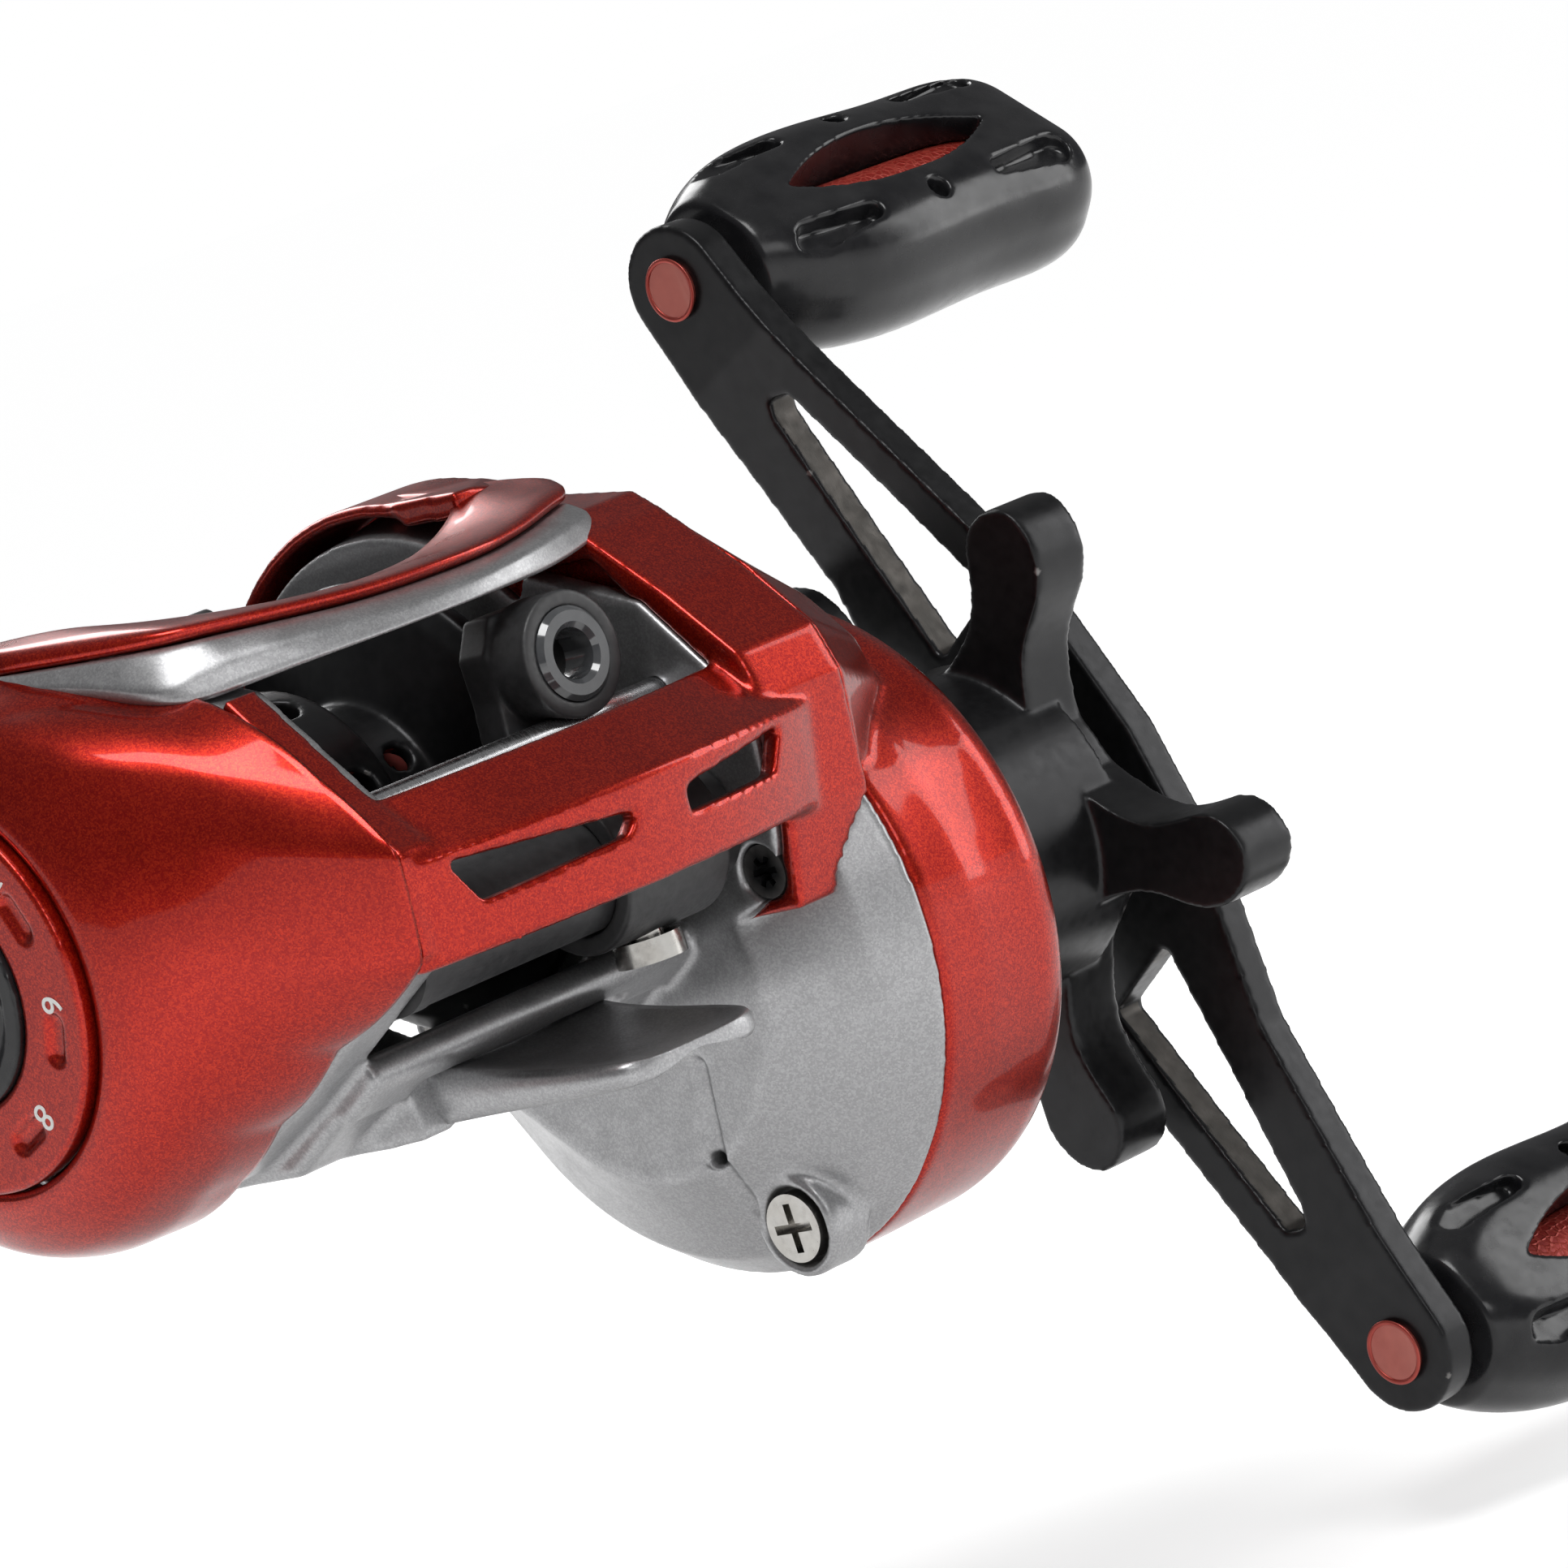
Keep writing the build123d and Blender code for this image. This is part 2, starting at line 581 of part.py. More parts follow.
def make_anti_reverse_bearing():
    bearing = tube(7.4, 4.5 + RUN, 27.0, 31.4)
    return about_drive(bearing - tube(6.6, 5.4, 26, 27.3) - tube(6.6, 5.4, 31.1, 32))


def make_drag_springs():
    """Two cupped washers back to back between the sleeve and the star's nut."""
    first = Polyline((34.1, 3.1), (34.6, 3.1), (35.4, 6.6), (34.9, 6.6), close=True)
    second = Polyline((36.2, 3.1), (36.7, 3.1), (35.9, 6.6), (35.4, 6.6), close=True)
    washers = [revolve(make_face(Plane.XZ * ring), Axis.X) for ring in (first, second)]
    return Compound(children=[about_drive(washer) for washer in washers])


def star_arm():
    """One paddle: waisted neck, rounded tip, swept slightly round the hub."""
    half_widths = [(8.0, 4.6, 0.0), (11.0, 2.9, 0.2), (14.0, 2.2, 0.5), (17.0, 2.7, 0.6), (19.6, 2.8, 0.3)]
    left = [(r, side + half) for r, half, side in half_widths]
    right = [(r, side - half) for r, half, side in reversed(half_widths)]
    tip = (STAR_TIP_R, 0.0)
    return make_face([Spline(*left, tip, *right), Line(right[-1], left[0])])


def make_star_drag():
    hub = disc(HUB_R, HUB_X0 + 1.2, HUB_X1 + 1.0)
    hub += loft([section(HUB_X0) * Circle(HUB_R + 0.2), section(HUB_X0 + 1.3) * Circle(HUB_R)])
    hub -= disc(9.0, HUB_X0 - 1, 42.6)
    hub += disc(5.4, 37.2, 43)
    arms = Part()
    for step in range(5):
        arms += slab(Rot(0, 0, STAR_ANGLE + 72 * step) * star_arm(), 44.4, 48.8)
    rim = disc(9.6, 44.4, 48.6)
    star = hub + arms + rim - disc(3.0 + RUN, 36, 50)
    return about_drive(star)


def arm_outline():
    """Both arms in their own plane: s along the span, w across; turned ends alike."""
    edge = [(40.0, 4.0), (36.5, 4.3), (30.8, 5.1), (23.5, 6.4), (15.7, 7.8), (8.0, 8.6), (0.0, 8.8)]
    back = [(-8.0, 7.6), (-19.3, 4.5), (-28.3, 4.2), (-36.5, 4.0), (-40.0, 4.0)]
    top = edge + back
    bottom = [(-s, -w) for s, w in top]
    blade = make_face(Polyline(*top, *bottom, close=True))
    slot = make_face(Polyline((30.6, 1.0), (30.0, 2.6), (21.2, 4.2), (12.4, 5.6), (11.4, -1.0),
                              (20.4, -0.4), (29.6, 0.4),
                              close=True))
    slot = fillet(slot.vertices(), 0.5)
    for turn in (0, 180):
        blade += Rot(0, 0, turn) * Pos(ARM_SPAN / 2, 0) * Circle(4.0)
    for turn in (0, 180):
        blade -= Rot(0, 0, turn) * slot
        blade -= Rot(0, 0, turn) * Pos(ARM_SPAN / 2, 0) * Circle(KNOB_PIN_R)
    return blade


def make_handle_arm():
    """Flat blade, set back towards the reel at both ends."""
    step = ARM_MID_X - ARM_END_X
    inner = [(-50, 0), (-34, 0), (-12, step), (12, step), (34, 0), (50, 0)]
    outer = [(s, x + ARM_THICKNESS) for s, x in reversed(inner)]
    side = Plane.XZ * make_face(Polyline(*inner, *outer, close=True))
    strip = extrude(side, 12, both=True)
    blade = extrude(arm_outline(), 10, both=False)
    arm = (Pos(0, 0, 0) * strip) & (Pos(0, 0, -1) * blade)
    arm -= Cylinder(2.65, 20)
    frame = Plane(origin=(ARM_END_X, DRIVE_Y, DRIVE_Z),
                  x_dir=(0, cos(radians(ARM_ANGLE)), sin(radians(ARM_ANGLE))),
                  z_dir=(1, 0, 0))
    return frame * arm


def make_handle_nut():
    nut = disc(5.0, 54.4, 57.6) & slab(RegularPolygon(5.4, 6), 54.4, 57.6)
    nut += disc(5.6, 54.35, 55.2)
    return about_drive(nut - disc(2.6 + RUN, 54, 60))


def make_nut_cap():
    """Domed cap screw that locks the nut."""
    dome = Pos(58.7, 0, 0) * Rot(Y=90) * Cone(3.6, 2.2, 1.2, align=(Align.CENTER, Align.CENTER, Align.MIN))
    head = dome - turned(box_between((59.4, -1.6, -0.3), (61, 1.6, 0.3)), 20)
    return about_drive(head + disc(0.8, 55.0, 58.8))


# ---- knobs -------------------------------------------------------------------------
def knob_places():
    direction = unit(ARM_ANGLE)
    return [(DRIVE_Y + side * ARM_SPAN / 2 * direction.X, DRIVE_Z + side * ARM_SPAN / 2 * direction.Y)
            for side in (1, -1)]


def make_knob(place, turn):
    """Flattened barrel, open through the middle, with pockets round the opening."""
    sizes = [(KNOB_X0, 9.2, 8.8), (54.6, 10.8, 9.6), (58.4, 14.2, 10.0), (68.4, 15.4, 10.4),
             (78.4, 15.0, 10.0), (82.2, 13.4, 8.8), (KNOB_X1, 11.2, 7.0)]
    faces = [section(x) * (Rot(0, 0, turn) * RectangleRounded(length, width, 0.44 * width))
             for x, length, width in sizes]
    body = loft(faces) - disc(3.05, KNOB_X0 + 1.2, KNOB_X1 - 1.4)
    body -= disc(KNOB_PIN_R + 0.35, KNOB_X0 - 1, KNOB_X0 + 2)
    middle = (KNOB_X0 + KNOB_X1) / 2
    for side in (-1, 1):
        normal = unit(turn + side * 90)
        face = Plane(origin=(middle, 0, 0), x_dir=(1, 0, 0), z_dir=(0, normal.X, normal.Y))
        body -= extrude(face * knob_window(), 12)
        body -= extrude(face.offset(3.6) * knob_pockets(), 4)
    y, z = place
    return Pos(0, y, z) * body


def knob_window():
    return make_face([ThreePointArc((-9.3, 0), (0, 2.6), (9.3, 0)),
                      ThreePointArc((9.3, 0), (0, -2.6), (-9.3, 0))])


def knob_pockets():
    """Four tapered pockets and two small holes about the window."""
    pockets = Sketch()
    for along in (-1, 1):
        for across in (-1, 1):
            pocket = make_hull((Pos(3.0, 0) * Circle(1.05) + Pos(-2.6, 0) * Circle(0.6)).edges())
            place = Pos(along * 8.6, across * 4.5) * Rot(0, 0, 0 if along > 0 else 180)
            pockets += place * pocket
    for across in (-1, 1):
        pockets += Pos(0, across * 4.6) * Circle(0.75)
    return pockets


def make_knob_core(place):
    y, z = place
    return tube(3.0, 2.45, KNOB_X0 + 3.4, KNOB_X1 - 4.0, y, z)


def make_knob_shafts():
    shafts = []
    for y, z in knob_places():
        pin = disc(KNOB_PIN_R, ARM_END_X, KNOB_X1 - 1.7, y, z)
        shafts.append(pin + disc(1.85, ARM_END_X - 0.35, ARM_END_X, y, z))
    return Compound(children=shafts)


def make_knob_bearings():
    bearings = []
    for y, z in knob_places():
        for x0, x1 in ((KNOB_X0 + 1.25, KNOB_X0 + 3.25), (KNOB_X1 - 3.8, KNOB_X1 - 1.8)):
            bearings.append(Pos(0, y, z) * ball_bearing(3.0, KNOB_PIN_R, x0, x1))
    return Compound(children=bearings)


# ---- handle-side cover ---------------------------------------------------------------
def make_gear_side_cover():
    shell = stacked([(GEAR_RIM_X, CASE_R, 17.6), (24.0, 19.4, 15.6), (29.4, 19.3, 10.0), (30.6, 19.0, 8.6),
                     (COVER_FACE_X, 18.4, 7.6)])
    shell -= stacked([(GEAR_RIM_X - 0.5, 18.2, 15.6), (24.0, 18.0, 14.2), (29.2, 17.6, 8.6),
                      (29.7, 17.4, 8.2)])
    horn = outline((-28.9, 17.4), (-28.0, 11.5), (-24.0, 14.0), (-12.0, 29.0), (-17.2, 29.9),
                   (-24.1, 24.6), (-27.9, 20.4))
    tip = outline((-24.5, 15.2), (-24.0, 13.4), (-22.0, 14.0), (-12.5, 24.0), (-14.5, 25.0),
                  (-21.0, 21.0), (-23.8, 18.0))
    bulge = loft([section(GEAR_RIM_X) * horn, section(27.0) * tip], ruled=True)
    shell += bulge - slab(case_outline(18.2, 15.6), 19, 32) - about_worm(disc(5.1, 19, 22.0))
    shell += about_drive(disc(9.3, 26.8, COVER_FACE_X + 0.3)) + about_spool(disc(6.6, 27.6, COVER_FACE_X))
    shell += about_spool(disc(4.6, 27.6, 34.4))
    shell -= about_drive(disc(7.4, 26, 33))
    shell -= about_spool(disc(3.4, 26, 30.6)) + about_spool(disc(1.6, 29, 36))
    for y, z in COVER_SCREWS:
        shell += disc(2.2, 21.8, 29.6, y, z) & slab(case_outline(CASE_R, 15), GEAR_RIM_X, 30)
        shell -= disc(0.9, 19, 26, y, z)
    return shell


def make_cast_control_cap():
    cap = disc(5.8, 31.6, 36.6) - disc(4.66, 31, 35.2)
    for step in range(16):
        cap -= turned(box_between((31, 5.5, -0.3), (36.0, 6.2, 0.3)), 22.5 * step)
    return about_spool(cap)


def make_cast_control_shim():
    return about_spool(disc(1.5, 31.1, 35.1))


def place_screws(screw_shape, places, x):
    return Compound(children=[Pos(x, y, z) * screw_shape for y, z in places])


# ---- level wind ----------------------------------------------------------------------
def make_worm_shaft():
    shaft = disc(WORM_R, -12.2, 12.4) + disc(1.1, -14.6, 17.4)
    return about_worm(shaft)


def make_worm_tube():
    """Guard round the worm with a slot below for the pawl."""
    guard = tube(TUBE_R, TUBE_R - 1.0, PALM_WALL_X + 0.1, GEAR_WALL_X - 0.1)
    slot = box_between((-11.6, -1.3, -6), (11.6, 1.3, 0))
    return about_worm(guard - slot)


def make_worm_bushings():
    inner = tube(1.95, 1.1 + RUN, -14.7, PALM_WALL_X + 0.3)
    outer = tube(1.95, 1.1 + RUN, GEAR_WALL_X - 0.3, 14.6)
    return Compound(children=[about_worm(inner), about_worm(outer)])


def make_worm_gear():
    phase = WORM_ANGLE + 180 + 180 / WIND_DRIVEN_TEETH
    teeth = Rot(0, 0, phase) * gear_outline(WIND_DRIVEN_TEETH, WIND_MODULE)
    return about_worm(slab(teeth, 15.2, 16.6) - disc(1.1, 14, 18))


def make_level_wind_drive_gear():
    teeth = Rot(0, 0, WORM_ANGLE) * gear_outline(WIND_DRIVE_TEETH, WIND_MODULE)
    gear = slab(teeth, 15.2, 16.6) - disc(2.5, 14, 18)
    for step in range(5):
        gear -= turned(disc(1.7, 14, 18, 6.6, 0), 72 * step)
    return about_drive(gear)


def make_guide_rod():
    return disc(GUIDE_ROD_R, PALM_WALL_X - 1.4, 14.1, GUIDE_ROD_Y, GUIDE_ROD_Z)


def make_line_guide_carriage():
    half = CARRIAGE_WIDTH / 2
    side = make_face(Plane.XZ * Polyline((-half, 7.6), (-half, 18.0), (-3.7, 22.0), (-3.7, 24.6),
                                         (-2.4, 26.6),
                                         (2.4, 26.6), (3.7, 24.6), (3.7, 22.0), (half, 18.0),
                                         (half, 7.6), close=True))
    plate = Pos(0, -19.6, 0) * extrude(side, 2.4)
    block = disc(TUBE_R + 1.2, -half, half, WORM_Y, WORM_Z)
    boss = Pos(0, RING_FRONT_Y + 0.3, RING_Z) * Rot(X=-90) * Cylinder(
        3.7, 3.2, align=(Align.CENTER, Align.CENTER, Align.MIN))
    carriage = plate + block + boss
    carriage -= disc(TUBE_R + 0.06, -6, 6, WORM_Y, WORM_Z)
    carriage -= disc(GUIDE_ROD_R + RUN, -6, 6, GUIDE_ROD_Y, GUIDE_ROD_Z)
    carriage -= Pos(0, -20, RING_Z) * Rot(X=90) * Cylinder(LINE_RING_R, 14)
    pawl_bore = Pos(0, WORM_Y, WORM_Z - 6) * Cylinder(1.15, 8)
    return Pos(CARRIAGE_X, 0, 0) * (carriage - pawl_bore)


def make_ceramic_ring():
    ring = Cylinder(LINE_RING_R, 3.0) - Cylinder(LINE_HOLE_R, 5)
    ring = chamfer(ring.edges().filter_by(GeomType.CIRCLE), 0.3)
    return Pos(CARRIAGE_X, RING_FRONT_Y + 1.5, RING_Z) * Rot(X=90) * ring


def make_pawl():
    body = Pos(0, 0, WORM_Z - 3.2) * Cylinder(1.1, 1.6)
    blade = box_between((-0.9, -0.2, WORM_Z - 2.5), (0.9, 0.2, WORM_Z - WORM_R - 0.1))
    return Pos(CARRIAGE_X, WORM_Y, 0) * (body + blade)


def make_pawl_cap():
    cap = Pos(0, 0, WORM_Z - 5.6) * Cylinder(2.1, 1.4) + Pos(0, 0, WORM_Z - 4.5) * Cylinder(1.1, 1.0)
    cap -= Pos(0, 0, WORM_Z - 6.4) * Cylinder(0.8, 1.2)
    return Pos(CARRIAGE_X, WORM_Y, 0) * cap


# ---- thumb bar -----------------------------------------------------------------------
def make_thumb_bar():
    """Clutch bar across the back of the spool; presses down along its guides."""
    bar = spool_arc(19.8, 15.4, 27, 47, PALM_WALL_X + 0.4, GEAR_WALL_X - 0.4)
    bar = fillet(bar.edges().filter_by(Axis.X), 0.6)
    return bar


def build_nodes():
    """Every separate piece of the reel by name."""
    upper, lower = knob_places()
    frame = make_frame()
    cowl = make_front_cowl(frame)
    palm_plate = make_palm_side_plate()
    case_parts = frame + cowl + palm_plate
    trim = largest(make_hood_trim() - case_parts)
    nodes = {
        "frame": frame,
        "front_cowl": cowl,
        "hood_trim": trim,
        "hood_cap": make_hood_cap() - case_parts - trim,
        "palm_side_plate": palm_plate,
        "brake_dial": make_brake_dial(),
        "brake_dial_cap": make_brake_dial_cap(),
        "magnet_carrier": make_magnet_carrier(),
        "brake_magnets": make_brake_magnets(),
        "spool": make_spool(),
        "spool_shaft": make_spool_shaft(),
        "spool_cross_pin": make_spool_pin(),
        "spool_bearing_palm": about_spool(ball_bearing(3.4, SHAFT_END_R + RUN, -15.9, -14.0)),
        "spool_bearing_handle": about_spool(ball_bearing(3.4, SHAFT_END_R + RUN, 28.4, 30.5)),
        "pinion_bearing": about_spool(ball_bearing(5.5, 3.0 + RUN, GEAR_WALL_X, 14.9)),
        "drive_shaft_bearing": about_drive(ball_bearing(4.0, 2.5 + RUN, 13.6, 15.1)),
        "pinion_gear": make_pinion_gear(),
        "pinion_yoke": make_pinion_yoke(),
        "yoke_posts": make_yoke_posts(),
        "yoke_springs": make_yoke_springs(),
        "clutch_cam": make_clutch_cam(),
        "thumb_bar": make_thumb_bar(),
        "drive_shaft": make_drive_shaft(),
        "drive_gear": make_drive_gear(),
        "ratchet": make_ratchet(),
        "drag_washers": make_drag_washers(),
        "drag_plates": make_drag_plates(),
        "anti_reverse_sleeve": make_anti_reverse_sleeve(),
        "anti_reverse_bearing": make_anti_reverse_bearing(),
        "drag_springs": make_drag_springs(),
        "star_drag": make_star_drag(),
        "handle_arm": make_handle_arm(),
        "handle_nut": make_handle_nut(),
        "nut_cap": make_nut_cap(),
        "knob_shafts": make_knob_shafts(),
        "knob_bearings": make_knob_bearings(),
        "knob_upper": make_knob(upper, KNOB_TURN_UPPER),
        "knob_lower": make_knob(lower, KNOB_TURN_LOWER),
        "knob_core_upper": make_knob_core(upper),
        "knob_core_lower": make_knob_core(lower),
        "gear_side_cover": make_gear_side_cover(),
        "cast_control_cap": make_cast_control_cap(),
        "cast_control_shim": make_cast_control_shim(),
        "cover_screws": place_screws(screw(2.1, 1.6, 0.85, 9.0, cross_recess(1.0, -1.6)),
                                     COVER_SCREWS, 16.0),
        "nose_screw": place_screws(screw(1.6, 1.2, 0.6, 2.4, star_recess(0.8, -1.2)), [NOSE_SCREW], 14.5),
        "worm_shaft": make_worm_shaft(),
        "worm_tube": make_worm_tube(),
        "worm_bushings": make_worm_bushings(),
        "worm_gear": make_worm_gear(),
        "level_wind_drive_gear": make_level_wind_drive_gear(),
        "guide_rod": make_guide_rod(),
        "line_guide_carriage": make_line_guide_carriage(),
        "ceramic_ring": make_ceramic_ring(),
        "pawl": make_pawl(),
        "pawl_cap": make_pawl_cap(),
    }
    return nodes


if __name__ == "__main__":
    os.makedirs("parts", exist_ok=True)
    for name, shape in build_nodes().items():
        export_step(shape, f"parts/{name}.step")
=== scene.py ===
import json
import math

import bmesh
import bpy
import numpy as np
from mathutils import Matrix, Vector
from mathutils.bvhtree import BVHTree


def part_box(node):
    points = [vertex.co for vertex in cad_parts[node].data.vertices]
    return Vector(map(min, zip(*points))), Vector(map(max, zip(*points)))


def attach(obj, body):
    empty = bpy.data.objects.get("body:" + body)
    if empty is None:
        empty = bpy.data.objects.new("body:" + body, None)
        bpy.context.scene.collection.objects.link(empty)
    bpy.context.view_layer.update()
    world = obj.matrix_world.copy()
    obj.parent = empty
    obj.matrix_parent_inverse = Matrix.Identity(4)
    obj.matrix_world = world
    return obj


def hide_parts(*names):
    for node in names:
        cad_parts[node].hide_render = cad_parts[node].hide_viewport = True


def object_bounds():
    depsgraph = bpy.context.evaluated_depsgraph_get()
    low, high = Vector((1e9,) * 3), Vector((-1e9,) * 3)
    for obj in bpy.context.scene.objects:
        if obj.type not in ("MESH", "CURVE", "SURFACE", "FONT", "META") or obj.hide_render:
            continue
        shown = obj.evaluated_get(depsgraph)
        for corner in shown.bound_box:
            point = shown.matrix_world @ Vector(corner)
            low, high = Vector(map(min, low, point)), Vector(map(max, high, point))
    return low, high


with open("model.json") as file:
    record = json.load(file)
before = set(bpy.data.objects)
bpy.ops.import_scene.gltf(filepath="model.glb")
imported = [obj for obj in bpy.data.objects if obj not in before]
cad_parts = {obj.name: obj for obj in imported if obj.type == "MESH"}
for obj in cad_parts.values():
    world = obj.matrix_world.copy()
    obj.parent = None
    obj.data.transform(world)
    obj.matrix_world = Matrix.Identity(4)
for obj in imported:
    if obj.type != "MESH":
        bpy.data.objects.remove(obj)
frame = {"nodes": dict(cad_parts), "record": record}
cad_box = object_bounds()
MM = 0.001

SLOTS = {part["node"]: part["material_slot"] for part in frame["record"]["subparts"]}
BODY_OF = {node: body for body, nodes in frame["record"]["behaviour"]["bodies"].items() for node in nodes}


# ---- material building blocks --------------------------------------------------
class Shader:
    """One Principled material with short ways to add procedural detail."""

    def __init__(self, name, color, metallic=0.0, roughness=0.5, **sockets):
        self.material = bpy.data.materials.new(name)
        self.material.use_nodes = True
        self.nodes = self.material.node_tree.nodes
        self.links = self.material.node_tree.links
        self.bsdf = self.nodes["Principled BSDF"]
        self.color = (*color, 1.0)
        self.bsdf.inputs["Base Color"].default_value = self.color
        self.bsdf.inputs["Metallic"].default_value = metallic
        self.bsdf.inputs["Roughness"].default_value = roughness
        for socket, value in sockets.items():
            self.bsdf.inputs[socket.replace("_", " ")].default_value = value
        coords = self.nodes.new("ShaderNodeTexCoord")
        self.place = coords.outputs["Object"]
        self.height = None

    def node(self, kind, **values):
        made = self.nodes.new(kind)
        for key, value in values.items():
            setattr(made, key, value)
        return made

    def noise(self, per_mm, detail=3.0, stretch=(1, 1, 1)):
        mapping = self.node("ShaderNodeMapping")
        mapping.inputs["Scale"].default_value = [s * 1000 for s in stretch]
        self.links.new(self.place, mapping.inputs["Vector"])
        texture = self.node("ShaderNodeTexNoise")
        texture.inputs["Scale"].default_value = per_mm
        texture.inputs["Detail"].default_value = detail
        self.links.new(mapping.outputs["Vector"], texture.inputs["Vector"])
        return texture.outputs["Fac"]

    def cells(self, per_mm, output="Color", feature="F1"):
        mapping = self.node("ShaderNodeMapping")
        mapping.inputs["Scale"].default_value = (1000, 1000, 1000)
        self.links.new(self.place, mapping.inputs["Vector"])
        texture = self.node("ShaderNodeTexVoronoi", feature=feature)
        texture.inputs["Scale"].default_value = per_mm
        self.links.new(mapping.outputs["Vector"], texture.inputs["Vector"])
        return texture.outputs[output]

    def span(self, source, low, high, from_low=0.3, from_high=0.7):
        ramp = self.node("ShaderNodeMapRange")
        ramp.inputs["From Min"].default_value = from_low
        ramp.inputs["From Max"].default_value = from_high
        ramp.inputs["To Min"].default_value = low
        ramp.inputs["To Max"].default_value = high
        self.links.new(source, ramp.inputs["Value"])
        return ramp.outputs["Result"]

    def vary_color(self, factor, other):
        """Mixes the colour so far towards another by a 0..1 source."""
        mix = self.node("ShaderNodeMix", data_type="RGBA")
        self.links.new(factor, mix.inputs["Factor"])
        socket = self.bsdf.inputs["Base Color"]
        if socket.is_linked:
            self.links.new(socket.links[0].from_socket, mix.inputs["A"])
        else:
            mix.inputs["A"].default_value = self.color
        mix.inputs["B"].default_value = (*other, 1.0)
        self.links.new(mix.outputs["Result"], socket)

    def vary_roughness(self, source, low, high):
        self.links.new(self.span(source, low, high), self.bsdf.inputs["Roughness"])

    def bump(self, source, depth_mm, strength=1.0):
        bump = self.node("ShaderNodeBump")
        bump.inputs["Strength"].default_value = strength
        bump.inputs["Distance"].default_value = depth_mm * MM
        self.links.new(source, bump.inputs["Height"])
        if self.height is not None:
            self.links.new(self.height, bump.inputs["Normal"])
        self.height = bump.outputs["Normal"]
        self.links.new(self.height, self.bsdf.inputs["Normal"])

    def wear_edges(self, tone, low=0.53, high=0.60, strength=0.6):
        """Lightens sharp outer edges where the finish is rubbed."""
        geometry = self.node("ShaderNodeNewGeometry")
        edge = self.span(geometry.outputs["Pointiness"], 0.0, strength, low, high)
        self.vary_color(edge, tone)

    def facing(self, other, blend=0.35, strength=1.0):
        """Deepens the colour where the surface turns away, as a tinted lacquer does."""
        layer = self.node("ShaderNodeLayerWeight")
        layer.inputs["Blend"].default_value = blend
        self.vary_color(self.span(layer.outputs["Facing"], 0.0, strength, 0.0, 1.0), other)


def red_paint():
    """Translucent red lacquer over fine bright flake."""
    s = Shader("red_paint", (0.32, 0.004, 0.002), 0.78, 0.28, Coat_Weight=0.35, Coat_Roughness=0.06)
    s.facing((0.10, 0.001, 0.001), 0.5)
    s.vary_color(s.span(s.cells(11.0), 0.0, 0.42, 0.3, 0.95), (0.85, 0.06, 0.012))
    s.vary_roughness(s.noise(0.25), 0.26, 0.36)
    s.bump(s.cells(13.0, "Distance"), 0.003, 0.3)
    return s.material


def silver_paint():
    s = Shader("silver_paint", (0.31, 0.31, 0.315), 0.85, 0.29, Coat_Weight=0.2, Coat_Roughness=0.2)
    s.vary_color(s.span(s.cells(9.0), 0.0, 0.5, 0.3, 0.9), (0.5, 0.5, 0.51))
    s.vary_roughness(s.noise(0.6), 0.34, 0.46)
    s.bump(s.cells(9.0, "Distance"), 0.004, 0.4)
    return s.material


def black_anodised():
    s = Shader("black_anodised", (0.010, 0.010, 0.011), 0.6, 0.36, Coat_Weight=0.05, Coat_Roughness=0.3)
    s.vary_color(s.span(s.noise(0.8), 0.0, 0.6), (0.02, 0.02, 0.021))
    s.vary_roughness(s.noise(1.6), 0.3, 0.4)
    s.bump(s.noise(9.0), 0.004, 0.5)
    s.wear_edges((0.3, 0.29, 0.28), 0.56, 0.66, 0.5)
    return s.material


def slot_wall_and_painted_shade():
    """Machined flank that shows the tool's fine lines; its near-black colour is also painted shade inside
    the slots.
    """
    # near-black base: partly the machined metal's own tone, partly painted shade of the slot's inside
    s = Shader("machined_flank_and_painted_shade", (0.045, 0.042, 0.038), 0.8, 0.42)
    s.vary_color(s.span(s.noise(0.5), 0.0, 0.7), (0.08, 0.072, 0.065))
    s.vary_roughness(s.noise(1.2), 0.36, 0.5)
    s.bump(s.noise(2.5, 2.0, (6, 1, 1)), 0.01, 0.5)
    return s.material


def black_gloss():
    s = Shader("black_gloss", (0.005, 0.005, 0.006), 0.0, 0.24, Coat_Weight=0.1, Coat_Roughness=0.15,
               Specular_IOR_Level=0.3)
    s.vary_color(s.span(s.noise(0.4), 0.0, 0.7), (0.02, 0.02, 0.021))
    s.vary_roughness(s.noise(0.9, 5.0), 0.18, 0.3)
    s.bump(s.noise(0.7), 0.012, 0.25)
    return s.material


def black_plastic():
    s = Shader("black_plastic", (0.018, 0.018, 0.019), 0.0, 0.46)
    s.vary_color(s.span(s.noise(1.4), 0.0, 0.7), (0.035, 0.035, 0.036))
    s.vary_roughness(s.noise(3.0), 0.4, 0.55)
    s.bump(s.noise(10.0), 0.008, 0.6)
    return s.material


def white_plastic():
    s = Shader("white_plastic", (0.8, 0.79, 0.74), 0.0, 0.42, Subsurface_Weight=0.1)
    s.vary_roughness(s.noise(2.0), 0.36, 0.5)
    s.bump(s.noise(6.0), 0.006, 0.4)
    return s.material


def steel():
    s = Shader("steel", (0.56, 0.56, 0.57), 1.0, 0.24)
    s.vary_color(s.span(s.noise(0.9), 0.0, 0.6), (0.7, 0.7, 0.71))
    s.vary_roughness(s.noise(1.5, 4.0, (9, 1, 1)), 0.17, 0.32)
    s.bump(s.noise(3.0, 2.0, (9, 1, 1)), 0.002, 0.5)
    return s.material


def bright_steel():
    s = Shader("bright_steel", (0.46, 0.45, 0.43), 1.0, 0.2)
    s.vary_color(s.span(s.noise(0.7), 0.0, 0.5), (0.34, 0.32, 0.29))
    s.vary_roughness(s.noise(2.0, 5.0), 0.15, 0.3)
    s.bump(s.noise(4.0), 0.002, 0.4)
    return s.material


